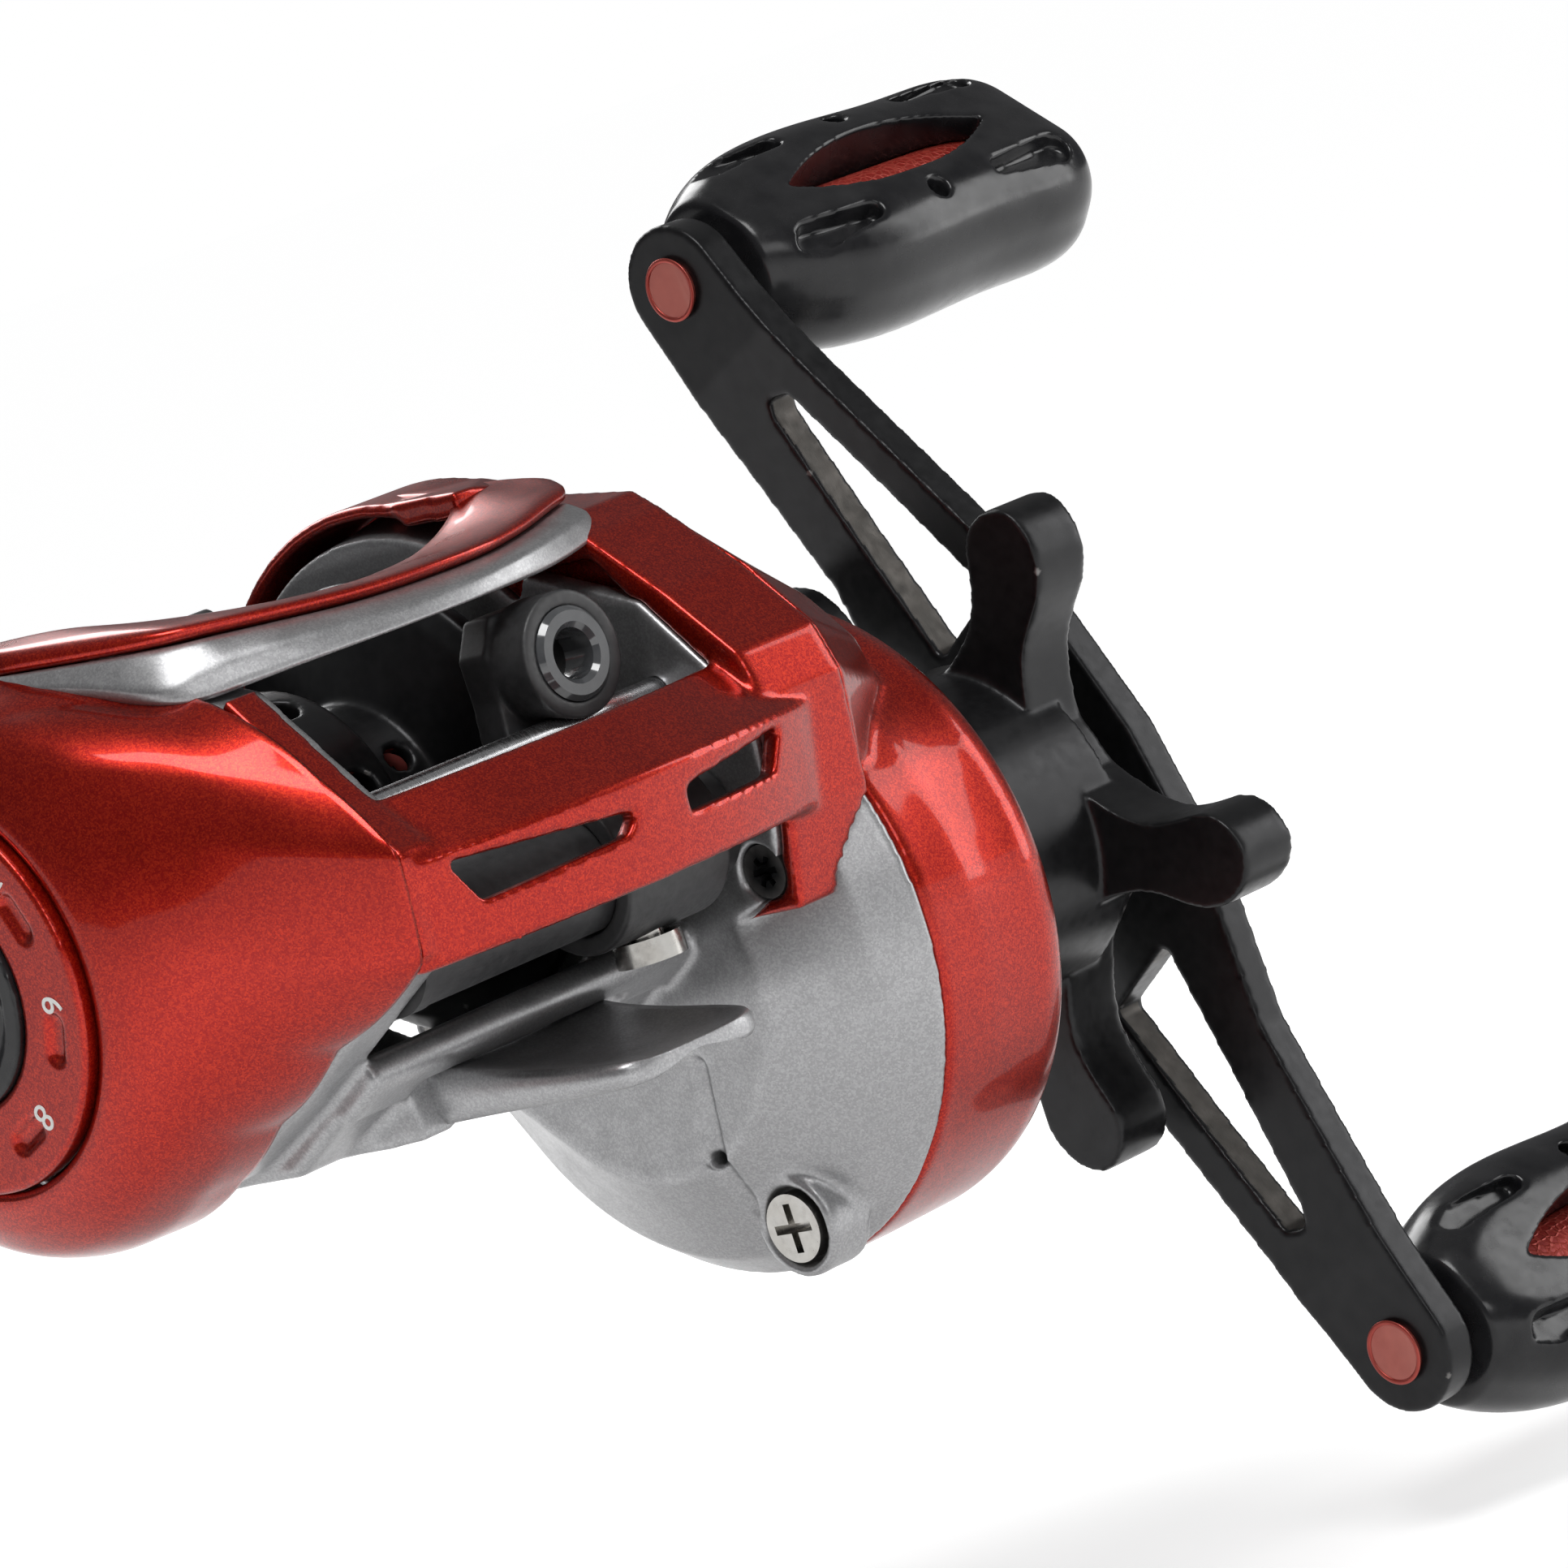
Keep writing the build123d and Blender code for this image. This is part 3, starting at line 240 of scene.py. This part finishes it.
def brass():
    s = Shader("brass", (0.72, 0.52, 0.24), 1.0, 0.26)
    s.vary_color(s.span(s.noise(0.9), 0.0, 0.6), (0.6, 0.4, 0.17))
    s.vary_roughness(s.noise(2.0, 4.0), 0.2, 0.34)
    s.bump(s.noise(5.0), 0.003, 0.4)
    return s.material


def carbon_felt():
    s = Shader("carbon_felt", (0.03, 0.03, 0.032), 0.1, 0.6)
    weave = s.cells(1.6)
    s.vary_color(s.span(weave, 0.0, 0.6, 0.2, 0.8), (0.1, 0.1, 0.105))
    s.bump(weave, 0.02, 0.6)
    return s.material


def red_anodised():
    s = Shader("red_anodised", (0.32, 0.055, 0.045), 0.8, 0.38)
    s.vary_color(s.span(s.noise(0.8), 0.0, 0.5), (0.42, 0.08, 0.06))
    s.vary_roughness(s.noise(1.5), 0.32, 0.46)
    s.bump(s.noise(7.0), 0.004, 0.5)
    s.wear_edges((0.6, 0.3, 0.25), 0.55, 0.64, 0.5)
    return s.material


def red_core():
    """Red sleeve seen through the knob's windows, with a fine raised net."""
    s = Shader("red_core", (0.3, 0.02, 0.014), 0.35, 0.42)
    net = s.cells(1.9, "Distance", "DISTANCE_TO_EDGE")
    s.vary_color(s.span(net, 0.55, 0.0, 0.0, 0.2), (0.55, 0.09, 0.06))
    s.bump(s.span(net, 1.0, 0.0, 0.0, 0.18), 0.07, 0.8)
    s.vary_roughness(s.noise(2.0), 0.36, 0.5)
    return s.material


def ceramic():
    s = Shader("ceramic", (0.045, 0.047, 0.05), 0.0, 0.12, Coat_Weight=1.0, Coat_Roughness=0.04)
    s.vary_color(s.span(s.noise(1.0), 0.0, 0.5), (0.075, 0.077, 0.08))
    s.vary_roughness(s.noise(2.0), 0.09, 0.18)
    s.bump(s.noise(5.0), 0.002, 0.4)
    return s.material


def dial_print():
    s = Shader("dial_print", (0.72, 0.72, 0.7), 0.0, 0.45)
    s.vary_color(s.span(s.noise(3.0), 0.0, 0.4), (0.6, 0.6, 0.58))
    s.bump(s.noise(9.0), 0.003, 0.5)
    return s.material


MATERIALS = {
    "red_paint": red_paint(), "silver_paint": silver_paint(), "black_anodised": black_anodised(),
    "black_gloss": black_gloss(), "black_plastic": black_plastic(), "white_plastic": white_plastic(),
    "steel": steel(), "bright_steel": bright_steel(), "brass": brass(), "carbon_felt": carbon_felt(),
    "red_anodised": red_anodised(), "red_core": red_core(), "ceramic": ceramic(),
}
SLOT_WALL_AND_PAINTED_SHADE = slot_wall_and_painted_shade()
DIAL_PRINT = dial_print()


# ---- meshes --------------------------------------------------------------------
CALM_ROUNDS = 60
CALM_BLEND = 2.0  # mm over which the calmed surface fades in


def relax(points, edges, rounds, keep_volume=True):
    """Evens a dense mesh; with keep_volume each round is followed by one that pushes back out."""
    count = len(points)
    a, b = edges[:, 0], edges[:, 1]
    degree = np.bincount(np.concatenate([a, b]), minlength=count)[:, None].clip(1)
    steps = (0.5, -0.52) if keep_volume else (0.5,)
    for _ in range(rounds):
        for step in steps:
            total = np.empty_like(points)
            for axis in range(3):
                values = points[:, axis]
                total[:, axis] = np.bincount(a, values[b], count) + np.bincount(b, values[a], count)
            points = points + (total / degree - points) * step
    return points


def add_object(name, mesh, material):
    obj = bpy.data.objects.new(name, mesh)
    bpy.context.scene.collection.objects.link(obj)
    mesh.materials.clear()
    mesh.materials.append(material)
    return obj


def box_object(low, high):
    """Box between two corners in mm."""
    obj = bpy.data.objects.new("cutter", bpy.data.meshes.new("cutter"))
    bpy.context.scene.collection.objects.link(obj)
    size = [(b - a) * MM for a, b in zip(low, high)]
    middle = [(a + b) / 2 * MM for a, b in zip(low, high)]
    place = Matrix.Translation(middle) @ Matrix.Diagonal((*size, 1))
    work = bmesh.new()
    bmesh.ops.create_cube(work, size=1, matrix=place)
    work.to_mesh(obj.data)
    work.free()
    return obj


def remeshed(node, name, voxel_mm, carve=()):
    """Dense closed copy of a CAD node, less any boxes given by two corners."""
    mesh = frame["nodes"][node].data.copy()
    obj = add_object(name, mesh, MATERIALS[SLOTS[node]])
    work = bmesh.new()
    work.from_mesh(mesh)
    bmesh.ops.remove_doubles(work, verts=work.verts, dist=1e-6)
    work.to_mesh(mesh)
    work.free()
    cutters = [box_object(low, high) for low, high in carve]
    for cutter in cutters:
        cut = obj.modifiers.new("cut", "BOOLEAN")
        cut.operation = "DIFFERENCE"
        cut.object = cutter
    even = obj.modifiers.new("even", "REMESH")
    even.mode = "VOXEL"
    even.voxel_size = voxel_mm * MM
    even.use_smooth_shade = True
    depsgraph = bpy.context.evaluated_depsgraph_get()
    dense = bpy.data.meshes.new_from_object(obj.evaluated_get(depsgraph))
    obj.modifiers.clear()
    for cutter in cutters:
        bpy.data.objects.remove(cutter)
    obj.data = dense
    dense.materials.clear()
    dense.materials.append(MATERIALS[SLOTS[node]])
    return obj


def mesh_points(mesh):
    points = np.empty(len(mesh.vertices) * 3)
    mesh.vertices.foreach_get("co", points)
    edges = np.empty(len(mesh.edges) * 2, dtype=np.int64)
    mesh.edges.foreach_get("vertices", edges)
    return points.reshape(-1, 3), edges.reshape(-1, 2)


def soften(node, voxel_mm, even, melt, carve=(), calm_below=None):
    """Replaces a CAD casting with a copy whose corners are rounded as moulded or cast ones are.

    even and melt are rounds of smoothing with and without keeping the volume. Below the height
    calm_below, in mm, the surface is smoothed much more.
    """
    obj = remeshed(node, node + "_cast", voxel_mm, carve)
    points, edges = mesh_points(obj.data)
    points = relax(points, edges, even)
    points = relax(points, edges, melt, keep_volume=False)
    if calm_below is not None:
        calm = relax(points, edges, CALM_ROUNDS)
        share = np.clip((calm_below - points[:, 2:] / MM) / CALM_BLEND, 0, 1)
        points = points + (calm - points) * share
    obj.data.vertices.foreach_set("co", points.ravel())
    obj.data.update()
    obj.data.polygons.foreach_set("use_smooth", [True] * len(obj.data.polygons))
    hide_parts(node)
    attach(obj, BODY_OF[node])
    return obj


def curve_through(values, steps):
    """Rows of points along a smooth curve through every given row."""
    rows = []
    last = len(values) - 1
    for k in range(last):
        before, a, b, after = values[max(k - 1, 0)], values[k], values[k + 1], values[min(k + 2, last)]
        for t in np.arange(steps) / steps:
            bend = (2 * before - 5 * a + 4 * b - after) * t ** 2 + (3 * a - before - 3 * b + after) * t ** 3
            rows.append(a + 0.5 * ((b - before) * t + bend))
    return np.array(rows + [values[last]])


def straight_through(values, steps):
    """The same with straight runs, which keeps each given row as a crease."""
    rows = [a + (b - a) * t for a, b in zip(values, values[1:]) for t in np.arange(steps) / steps]
    return np.array(rows + [values[-1]])


def skin(name, rows, slot, body, melt=2, capped=True):
    """Closed solid from rows of points, each row one loop around the piece."""
    count, around = rows.shape[:2]
    work = bmesh.new()
    verts = [[work.verts.new(Vector(point) * MM) for point in row] for row in rows]
    lines = range(count - 1) if capped else range(count)
    for i in lines:
        for j in range(around):
            k, n = (i + 1) % count, (j + 1) % around
            work.faces.new((verts[i][j], verts[i][n], verts[k][n], verts[k][j]))
    if capped:
        for row in (verts[0], verts[-1]):
            middle = work.verts.new(sum((vert.co for vert in row), Vector()) / around)
            for j in range(around):
                work.faces.new((row[j], row[(j + 1) % around], middle))
    bmesh.ops.recalc_face_normals(work, faces=work.faces)
    mesh = bpy.data.meshes.new(name)
    work.to_mesh(mesh)
    work.free()
    points, edges = mesh_points(mesh)
    mesh.vertices.foreach_set("co", relax(points, edges, melt, keep_volume=False).ravel())
    mesh.polygons.foreach_set("use_smooth", [True] * len(mesh.polygons))
    obj = add_object(name, mesh, MATERIALS[slot])
    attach(obj, body)
    return obj


SPOOL_Z = 16.225
FLANK_TILT = 0.45  # a wall whose normal leans further than this along x is not a flank
SKIP = 0.05  # mm off the wall where a ray towards the opposite wall starts
DIAL_FIGURE_R = 9.3
DIAL_FIGURE_HEIGHT = 2.3
DIAL_FIGURE_RISE = 0.04
DIAL_STEP_DEG = 45
DIAL_ZERO_DEG = 55
RIVET_RING_R = 1.9
RIVET_BEAD_R = 0.16
RIVET_BEAD_RISE = 0.09


def palm_plate():
    """Round shell whose front draws out into a creased nose."""
    stations = [
        (-16.5, 17.2, ((241, 17.2), (223, 18.0), (204, 21.7), (190, 29.4), (177.6, 29.8), (167.3, 26.5),
                       (145, 21.3), (126, 18.5), (110, 17.2))),
        (-18.5, 17.15, ((241, 17.15), (223, 17.8), (204, 20.8), (190, 25.6), (174.3, 26.1), (161.6, 23.5),
                        (138, 19.0), (124, 17.8), (110, 17.15))),
        (-21.0, 17.0, ((241, 17.0), (222, 17.4), (203, 19.0), (187, 20.8), (167.6, 21.1), (154.0, 20.5),
                       (128, 17.6), (118, 17.2), (108, 17.0))),
        (-23.6, 16.0, ((241, 16.0), (221, 16.2), (201, 16.6), (182, 16.9), (155, 17.1), (142, 17.4),
                       (120, 16.2), (112, 16.0), (106, 16.0))),
        (-25.0, 14.2, ((241, 14.2), (220, 14.2), (200, 14.2), (175, 14.3), (144, 14.4), (133, 14.4),
                       (116, 14.2), (110, 14.2), (104, 14.2))),
    ]

    def ring(x, radius, knots):
        front = straight_through(np.array(knots, float), 10)
        back = np.array([(angle, radius) for angle in np.linspace(knots[-1][0], -119, 76)[1:-1]])
        polar = np.concatenate([front, back])
        angle = np.radians(polar[:, 0])
        return np.stack([np.full(len(angle), x), polar[:, 1] * np.cos(angle),
                         polar[:, 1] * np.sin(angle) + SPOOL_Z], axis=1)
    outer = curve_through(np.array([ring(*station) for station in stations]), 6)
    centre = np.array([0, 0, SPOOL_Z])

    def shrunk(row, x, drop):
        flat = (row - centre) * (0, 1, 1)
        length = np.linalg.norm(flat, axis=1, keepdims=True)
        return flat * (1 - drop / length) + centre + (x, 0, 0)

    def circle(row, x, radius):
        flat = (row - centre) * (0, 1, 1)
        return flat * radius / np.linalg.norm(flat, axis=1, keepdims=True) + centre + (x, 0, 0)

    lip = [circle(outer[-1], -25.5, 12.7), circle(outer[-1], -25.6, 12.2), circle(outer[-1], -25.5, 11.8),
           circle(outer[-1], -25.2, 11.75), circle(outer[-1], -24.5, 11.75), circle(outer[-1], -23.8, 12.6)]
    inner = [shrunk(outer[12], -22.0, 1.5), shrunk(outer[6], -18.5, 1.5), shrunk(outer[0], -16.5, 1.4)]
    rows = np.concatenate([outer, np.array(lip), np.array(inner)])
    plate = skin("palm_plate_shell", rows, "red_paint", "reel_body", 1, capped=False)
    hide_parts("palm_side_plate")


def hood_strip():
    """Silver strip over the window that widens into a tapered facet on the palm shoulder."""
    top = [(-20.2, -6.3, 32.4), (-18.6, -11.2, 31.9), (-17.0, -15.0, 31.5), (-15.2, -17.0, 31.2),
           (-13.2, -17.7, 31.0), (-10.6, -18.5, 30.7), (-4.5, -20.0, 30.1), (3.5, -20.1, 29.9),
           (8.5, -19.1, 30.1), (13.1, -17.5, 30.6), (15.2, -16.6, 30.9)]
    crease = [(-20.6, -6.6, 31.8), (-19.3, -11.8, 30.6), (-18.0, -16.4, 29.2), (-15.8, -18.0, 29.5),
              (-13.4, -19.1, 29.6), (-10.3, -20.3, 29.4), (-4.2, -21.7, 29.0), (3.7, -21.8, 29.2),
              (8.1, -21.1, 29.5), (13.6, -18.9, 29.9), (15.4, -17.9, 30.1)]
    low = [(-20.6, -6.5, 31.3), (-19.2, -11.9, 30.0), (-17.9, -16.5, 28.4), (-16.2, -18.2, 27.9),
           (-14.0, -19.2, 27.9), (-9.6, -20.9, 28.0), (-4.2, -22.0, 28.0), (2.1, -22.2, 28.0),
           (8.3, -21.2, 28.0), (13.5, -19.4, 28.4), (15.3, -18.5, 28.7)]
    top, crease, low = np.array(top), np.array(crease), np.array(low)
    back = np.array([0, 2.6, 0])
    edges = [top, crease, low, low + back, top + back]
    loops = np.stack([curve_through(edge, 8) for edge in edges], axis=1)
    around = [straight_through(np.concatenate([row, row[:1]]), 5)[:-1] for row in loops]
    strip = skin("hood_strip", np.array(around), "silver_paint", "reel_body", 2)
    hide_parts("hood_trim")


def hood_saddle():
    """Rolled red cap behind the strip."""
    front = [(-20.3, -6.3, 32.5), (-17.2, -14.9, 31.6), (-13.2, -17.6, 31.1), (-4.5, -19.9, 30.2),
             (3.5, -20.0, 30.0), (8.5, -19.0, 30.2), (13.1, -17.4, 30.7), (15.6, -16.2, 31.0),
             (17.2, -13.4, 31.6)]
    lip = [(-20.2, -6.6, 33.2), (-17.0, -15.2, 32.3), (-13.0, -17.8, 31.8), (-4.5, -20.1, 30.9),
           (3.5, -20.2, 30.7), (8.5, -19.1, 30.9), (13.1, -17.4, 31.5), (15.8, -16.0, 31.8),
           (17.6, -13.2, 32.3)]
    roll = [(-19.8, -4.6, 33.9), (-16.6, -12.6, 33.0), (-12.6, -15.2, 32.2), (-4.5, -17.6, 31.2),
            (3.5, -17.6, 31.0), (8.7, -16.2, 31.3), (13.3, -14.4, 32.0), (16.0, -12.6, 32.4),
            (17.4, -8.6, 33.1)]
    top = [(-18.6, 1.5, 34.2), (-15.4, -5.0, 33.9), (-12.0, -9.5, 32.7), (-4.5, -13.0, 31.0),
           (3.5, -13.0, 30.8), (8.7, -11.6, 31.4), (13.2, -9.0, 32.6), (14.6, -5.4, 33.5),
           (15.4, -0.5, 34.0)]
    lines = [np.array(edge) for edge in (front, lip, roll, top)]
    sink = np.array([0, 1.2, -1.6])
    lines += [lines[3] + sink * (1, 0, 1), lines[2] + sink]
    loops = np.stack([curve_through(edge, 10) for edge in lines], axis=1)
    around = []
    for row in loops:
        outside = curve_through(row[:4], 5)
        under = straight_through(np.concatenate([row[3:], row[:1]]), 4)[1:-1]
        around.append(np.concatenate([outside, under]))
    skin("hood_saddle", np.array(around), "red_paint", "reel_body", 3)


def foot_dish():
    """Hollowed top of the front tongue, with a rolled rim, rising to meet the cross beam."""
    # y, half width, height in the middle, height at the rim
    stations = [(-29.5, 3.9, 1.35, 1.4), (-28.7, 5.6, 1.35, 1.8), (-26.0, 6.3, 1.4, 2.2),
                (-22.0, 6.5, 1.6, 2.7), (-18.0, 6.7, 2.1, 3.4), (-15.0, 7.1, 3.0, 4.0),
                (-12.0, 7.5, 3.8, 4.3)]
    rows = []
    for y, half, middle, rim in stations:
        across = np.linspace(-1, 1, 25)
        top = [(half * t, y, middle + (rim - middle) * abs(t) ** 2.5) for t in across]
        under = [(half * t, y, 0.8 * (1 - t * t)) for t in across[::-1] * 0.97]
        rows.append(np.array(top + under))
    skin("foot_dish", curve_through(np.array(rows), 8), "silver_paint", "reel_body", 3)


def tint_facing_walls(obj, material, reach_mm):
    """Gives the flanks of narrow openings, which face each other, the given material; the dark machined one
    also paints the shade inside the handle arm's slots.
    """
    mesh = obj.data
    mesh.materials.append(material)
    tree = BVHTree.FromPolygons([v.co for v in mesh.vertices], [p.vertices for p in mesh.polygons])
    for face in mesh.polygons:
        if abs(face.normal.x) > FLANK_TILT:
            continue
        start = face.center + face.normal * SKIP * MM
        if tree.ray_cast(start, face.normal, reach_mm * MM)[0] is not None:
            face.material_index = 1


def dial_numbers():
    """Even numbers around the brake dial, raised a hair above its face."""
    face_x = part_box("brake_dial")[0][0] / MM
    work = bmesh.new()
    for step in range(8):
        curve = bpy.data.curves.new("figure", "FONT")
        curve.body = str(2 * step)
        curve.size = DIAL_FIGURE_HEIGHT * MM
        curve.extrude = DIAL_FIGURE_RISE * MM
        curve.align_x = "CENTER"
        curve.align_y = "CENTER"
        holder = bpy.data.objects.new("figure", curve)
        bpy.context.scene.collection.objects.link(holder)
        depsgraph = bpy.context.evaluated_depsgraph_get()
        mesh = bpy.data.meshes.new_from_object(holder.evaluated_get(depsgraph))
        angle = math.radians(DIAL_STEP_DEG * step + DIAL_ZERO_DEG)
        out = Vector((0, math.cos(angle), math.sin(angle)))
        side = Vector((0, -math.sin(angle), math.cos(angle)))
        place = Matrix((side, out, Vector((-1, 0, 0)))).transposed().to_4x4()
        place.translation = Vector((face_x - 0.01, DIAL_FIGURE_R * out.y,
                                    DIAL_FIGURE_R * out.z + SPOOL_Z)) * MM
        mesh.transform(place)
        work.from_mesh(mesh)
        bpy.data.objects.remove(holder)
    mesh = bpy.data.meshes.new("dial_numbers")
    work.to_mesh(mesh)
    work.free()
    obj = add_object("dial_numbers", mesh, DIAL_PRINT)
    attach(obj, "dial")


def rivet_rings():
    """Turned rings on the two rivet heads."""
    head_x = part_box("knob_shafts")[0][0] / MM
    turn = np.linspace(0, 2 * math.pi, 73)[:-1]
    bead = np.linspace(0, 2 * math.pi, 13)[:-1]
    for core in ("knob_core_upper", "knob_core_lower"):
        low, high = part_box(core)
        middle = np.array([head_x, (low[1] + high[1]) / 2 / MM, (low[2] + high[2]) / 2 / MM])
        rows = []
        for angle in turn:
            out = np.array([0, math.cos(angle), math.sin(angle)])
            rows.append([middle + out * (RIVET_RING_R + RIVET_BEAD_R * math.cos(t))
                         + np.array([RIVET_BEAD_RISE * math.sin(t), 0, 0]) for t in bead])
        skin("rivet_ring_" + core[10:], np.array(rows), "red_anodised", "crank", 0, capped=False)


def finish_cad(obj, material):
    """A carried-over node keeps its mesh and takes the finish."""
    obj.data.materials.clear()
    obj.data.materials.append(material)


# Boxes in mm that clear the way for the foot dish, the hood strip and the hood saddle.
FRONT_TONGUE = ((-8.6, -40, -5), (8.6, -14.5, 3.4))
HOOD_ROOF = ((-30, -40, 15), (13.0, 2.2, 45))
HOOD_FRONT = ((-30, -40, 15), (30, -10, 45))
# Voxel in mm, rounds of even and melt smoothing, then any boxes cut out and the calm height.
CAST = {
    "frame": (0.24, 6, 5, [FRONT_TONGUE], 9.0), "front_cowl": (0.2, 6, 8),
    "hood_cap": (0.2, 6, 8, [HOOD_ROOF, HOOD_FRONT]), "gear_side_cover": (0.24, 6, 10),
    "handle_arm": (0.17, 5, 3), "star_drag": (0.2, 5, 3), "knob_upper": (0.17, 6, 6),
    "knob_lower": (0.17, 6, 6), "spool": (0.2, 5, 3), "thumb_bar": (0.18, 5, 6),
    "line_guide_carriage": (0.13, 5, 4), "brake_dial": (0.14, 5, 3),
    "brake_dial_cap": (0.14, 5, 3), "cast_control_cap": (0.14, 5, 3),
}

for node, obj in frame["nodes"].items():
    finish_cad(obj, MATERIALS[SLOTS[node]])
pieces = {node: soften(node, *settings) for node, settings in CAST.items()}
# the arm's slot flanks take a dark colour that is partly painted shade
tint_facing_walls(pieces["handle_arm"], SLOT_WALL_AND_PAINTED_SHADE, 9.0)
tint_facing_walls(pieces["spool"], MATERIALS["red_anodised"], 4.5)
palm_plate()
hood_strip()
hood_saddle()
foot_dish()
dial_numbers()
rivet_rings()


# ---- camera, light, floor --------------------------------------------------------
def look():
    right = Vector((0.6701, -0.6745, -0.3098))
    up = Vector((0.2876, -0.1488, 0.9461))
    forward = Vector((0.6843, 0.7231, -0.0943))
    data = bpy.data.cameras.new("camera")
    data.lens = 193.1
    data.sensor_width = 36.0
    data.clip_start = 0.01
    camera = bpy.data.objects.new("camera", data)
    camera.matrix_world = Matrix.Translation((-0.3125, -0.3729, 0.0573)) @ Matrix(
        (right, up, -forward)).transposed().to_4x4()
    bpy.context.scene.collection.objects.link(camera)
    bpy.context.scene.camera = camera


def softbox(name, place, aim, width, height, power):
    data = bpy.data.lights.new(name, "AREA")
    data.shape = "RECTANGLE"
    data.size = width
    data.size_y = height
    data.energy = power
    light = bpy.data.objects.new(name, data)
    light.location = place
    light.rotation_euler = (Vector(aim) - Vector(place)).to_track_quat("-Z", "Y").to_euler()
    bpy.context.scene.collection.objects.link(light)


def studio():
    softbox("key", (-0.12, -0.21, 0.45), (0, 0, 0.01), 0.24, 0.24, 1.7)
    softbox("front", (-0.1, -0.5, 0.2), (0.02, -0.02, 0.01), 0.3, 0.12, 0.4)
    softbox("side", (0.42, -0.28, 0.12), (0.02, 0, 0.01), 0.16, 0.3, 0.7)
    softbox("rim", (0.15, 0.4, 0.3), (0, 0, 0.02), 0.35, 0.2, 1.2)
    world = bpy.data.worlds.new("studio")
    world.use_nodes = True
    bpy.context.scene.world = world
    nodes, links = world.node_tree.nodes, world.node_tree.links
    background = nodes["Background"]
    coords = nodes.new("ShaderNodeTexCoord")
    split = nodes.new("ShaderNodeSeparateXYZ")
    links.new(coords.outputs["Generated"], split.inputs["Vector"])
    ramp = nodes.new("ShaderNodeValToRGB")
    ramp.color_ramp.elements[0].position = 0.35
    ramp.color_ramp.elements[0].color = (0.15, 0.15, 0.15, 1)
    ramp.color_ramp.elements[1].position = 0.95
    ramp.color_ramp.elements[1].color = (0.22, 0.22, 0.22, 1)
    middle = ramp.color_ramp.elements.new(0.53)
    middle.color = (0.08, 0.08, 0.085, 1)
    lift = nodes.new("ShaderNodeMapRange")
    lift.inputs["From Min"].default_value = -1.0
    links.new(split.outputs["Z"], lift.inputs["Value"])
    links.new(lift.outputs["Result"], ramp.inputs["Fac"])
    seen = nodes.new("ShaderNodeLightPath")
    mix = nodes.new("ShaderNodeMix")
    mix.data_type = "RGBA"
    links.new(seen.outputs["Is Camera Ray"], mix.inputs["Factor"])
    links.new(ramp.outputs["Color"], mix.inputs["A"])
    mix.inputs["B"].default_value = (1, 1, 1, 1)
    links.new(mix.outputs["Result"], background.inputs["Color"])
    background.inputs["Strength"].default_value = 1.0
    bpy.context.scene.view_settings.view_transform = "Standard"


def floor():
    mesh = bpy.data.meshes.new("floor")
    reach = 6.0
    depth = cad_box[0][2] - 0.004
    corners = [(-reach, -reach), (reach, -reach), (reach, reach), (-reach, reach)]
    mesh.from_pydata([(x, y, depth) for x, y in corners], [], [(0, 1, 2, 3)])
    shade = Shader("floor", (0.5, 0.5, 0.5), 0.0, 0.8, Emission_Color=(1, 1, 1, 1))
    distance = shade.node("ShaderNodeVectorMath", operation="LENGTH")
    shade.links.new(shade.place, distance.inputs[0])
    # emission falls from 0.9 beyond 140 mm to 0.3 within 20 mm of the middle: a painted shadow on the floor
    # around the object
    floor_glow_with_painted_shadow = shade.span(distance.outputs["Value"], 0.3, 0.9, 0.02, 0.14)
    shade.links.new(floor_glow_with_painted_shadow, shade.bsdf.inputs["Emission Strength"])
    shade.vary_roughness(shade.noise(0.01), 0.75, 0.9)
    obj = add_object("floor", mesh, shade.material)


look()
studio()
floor()
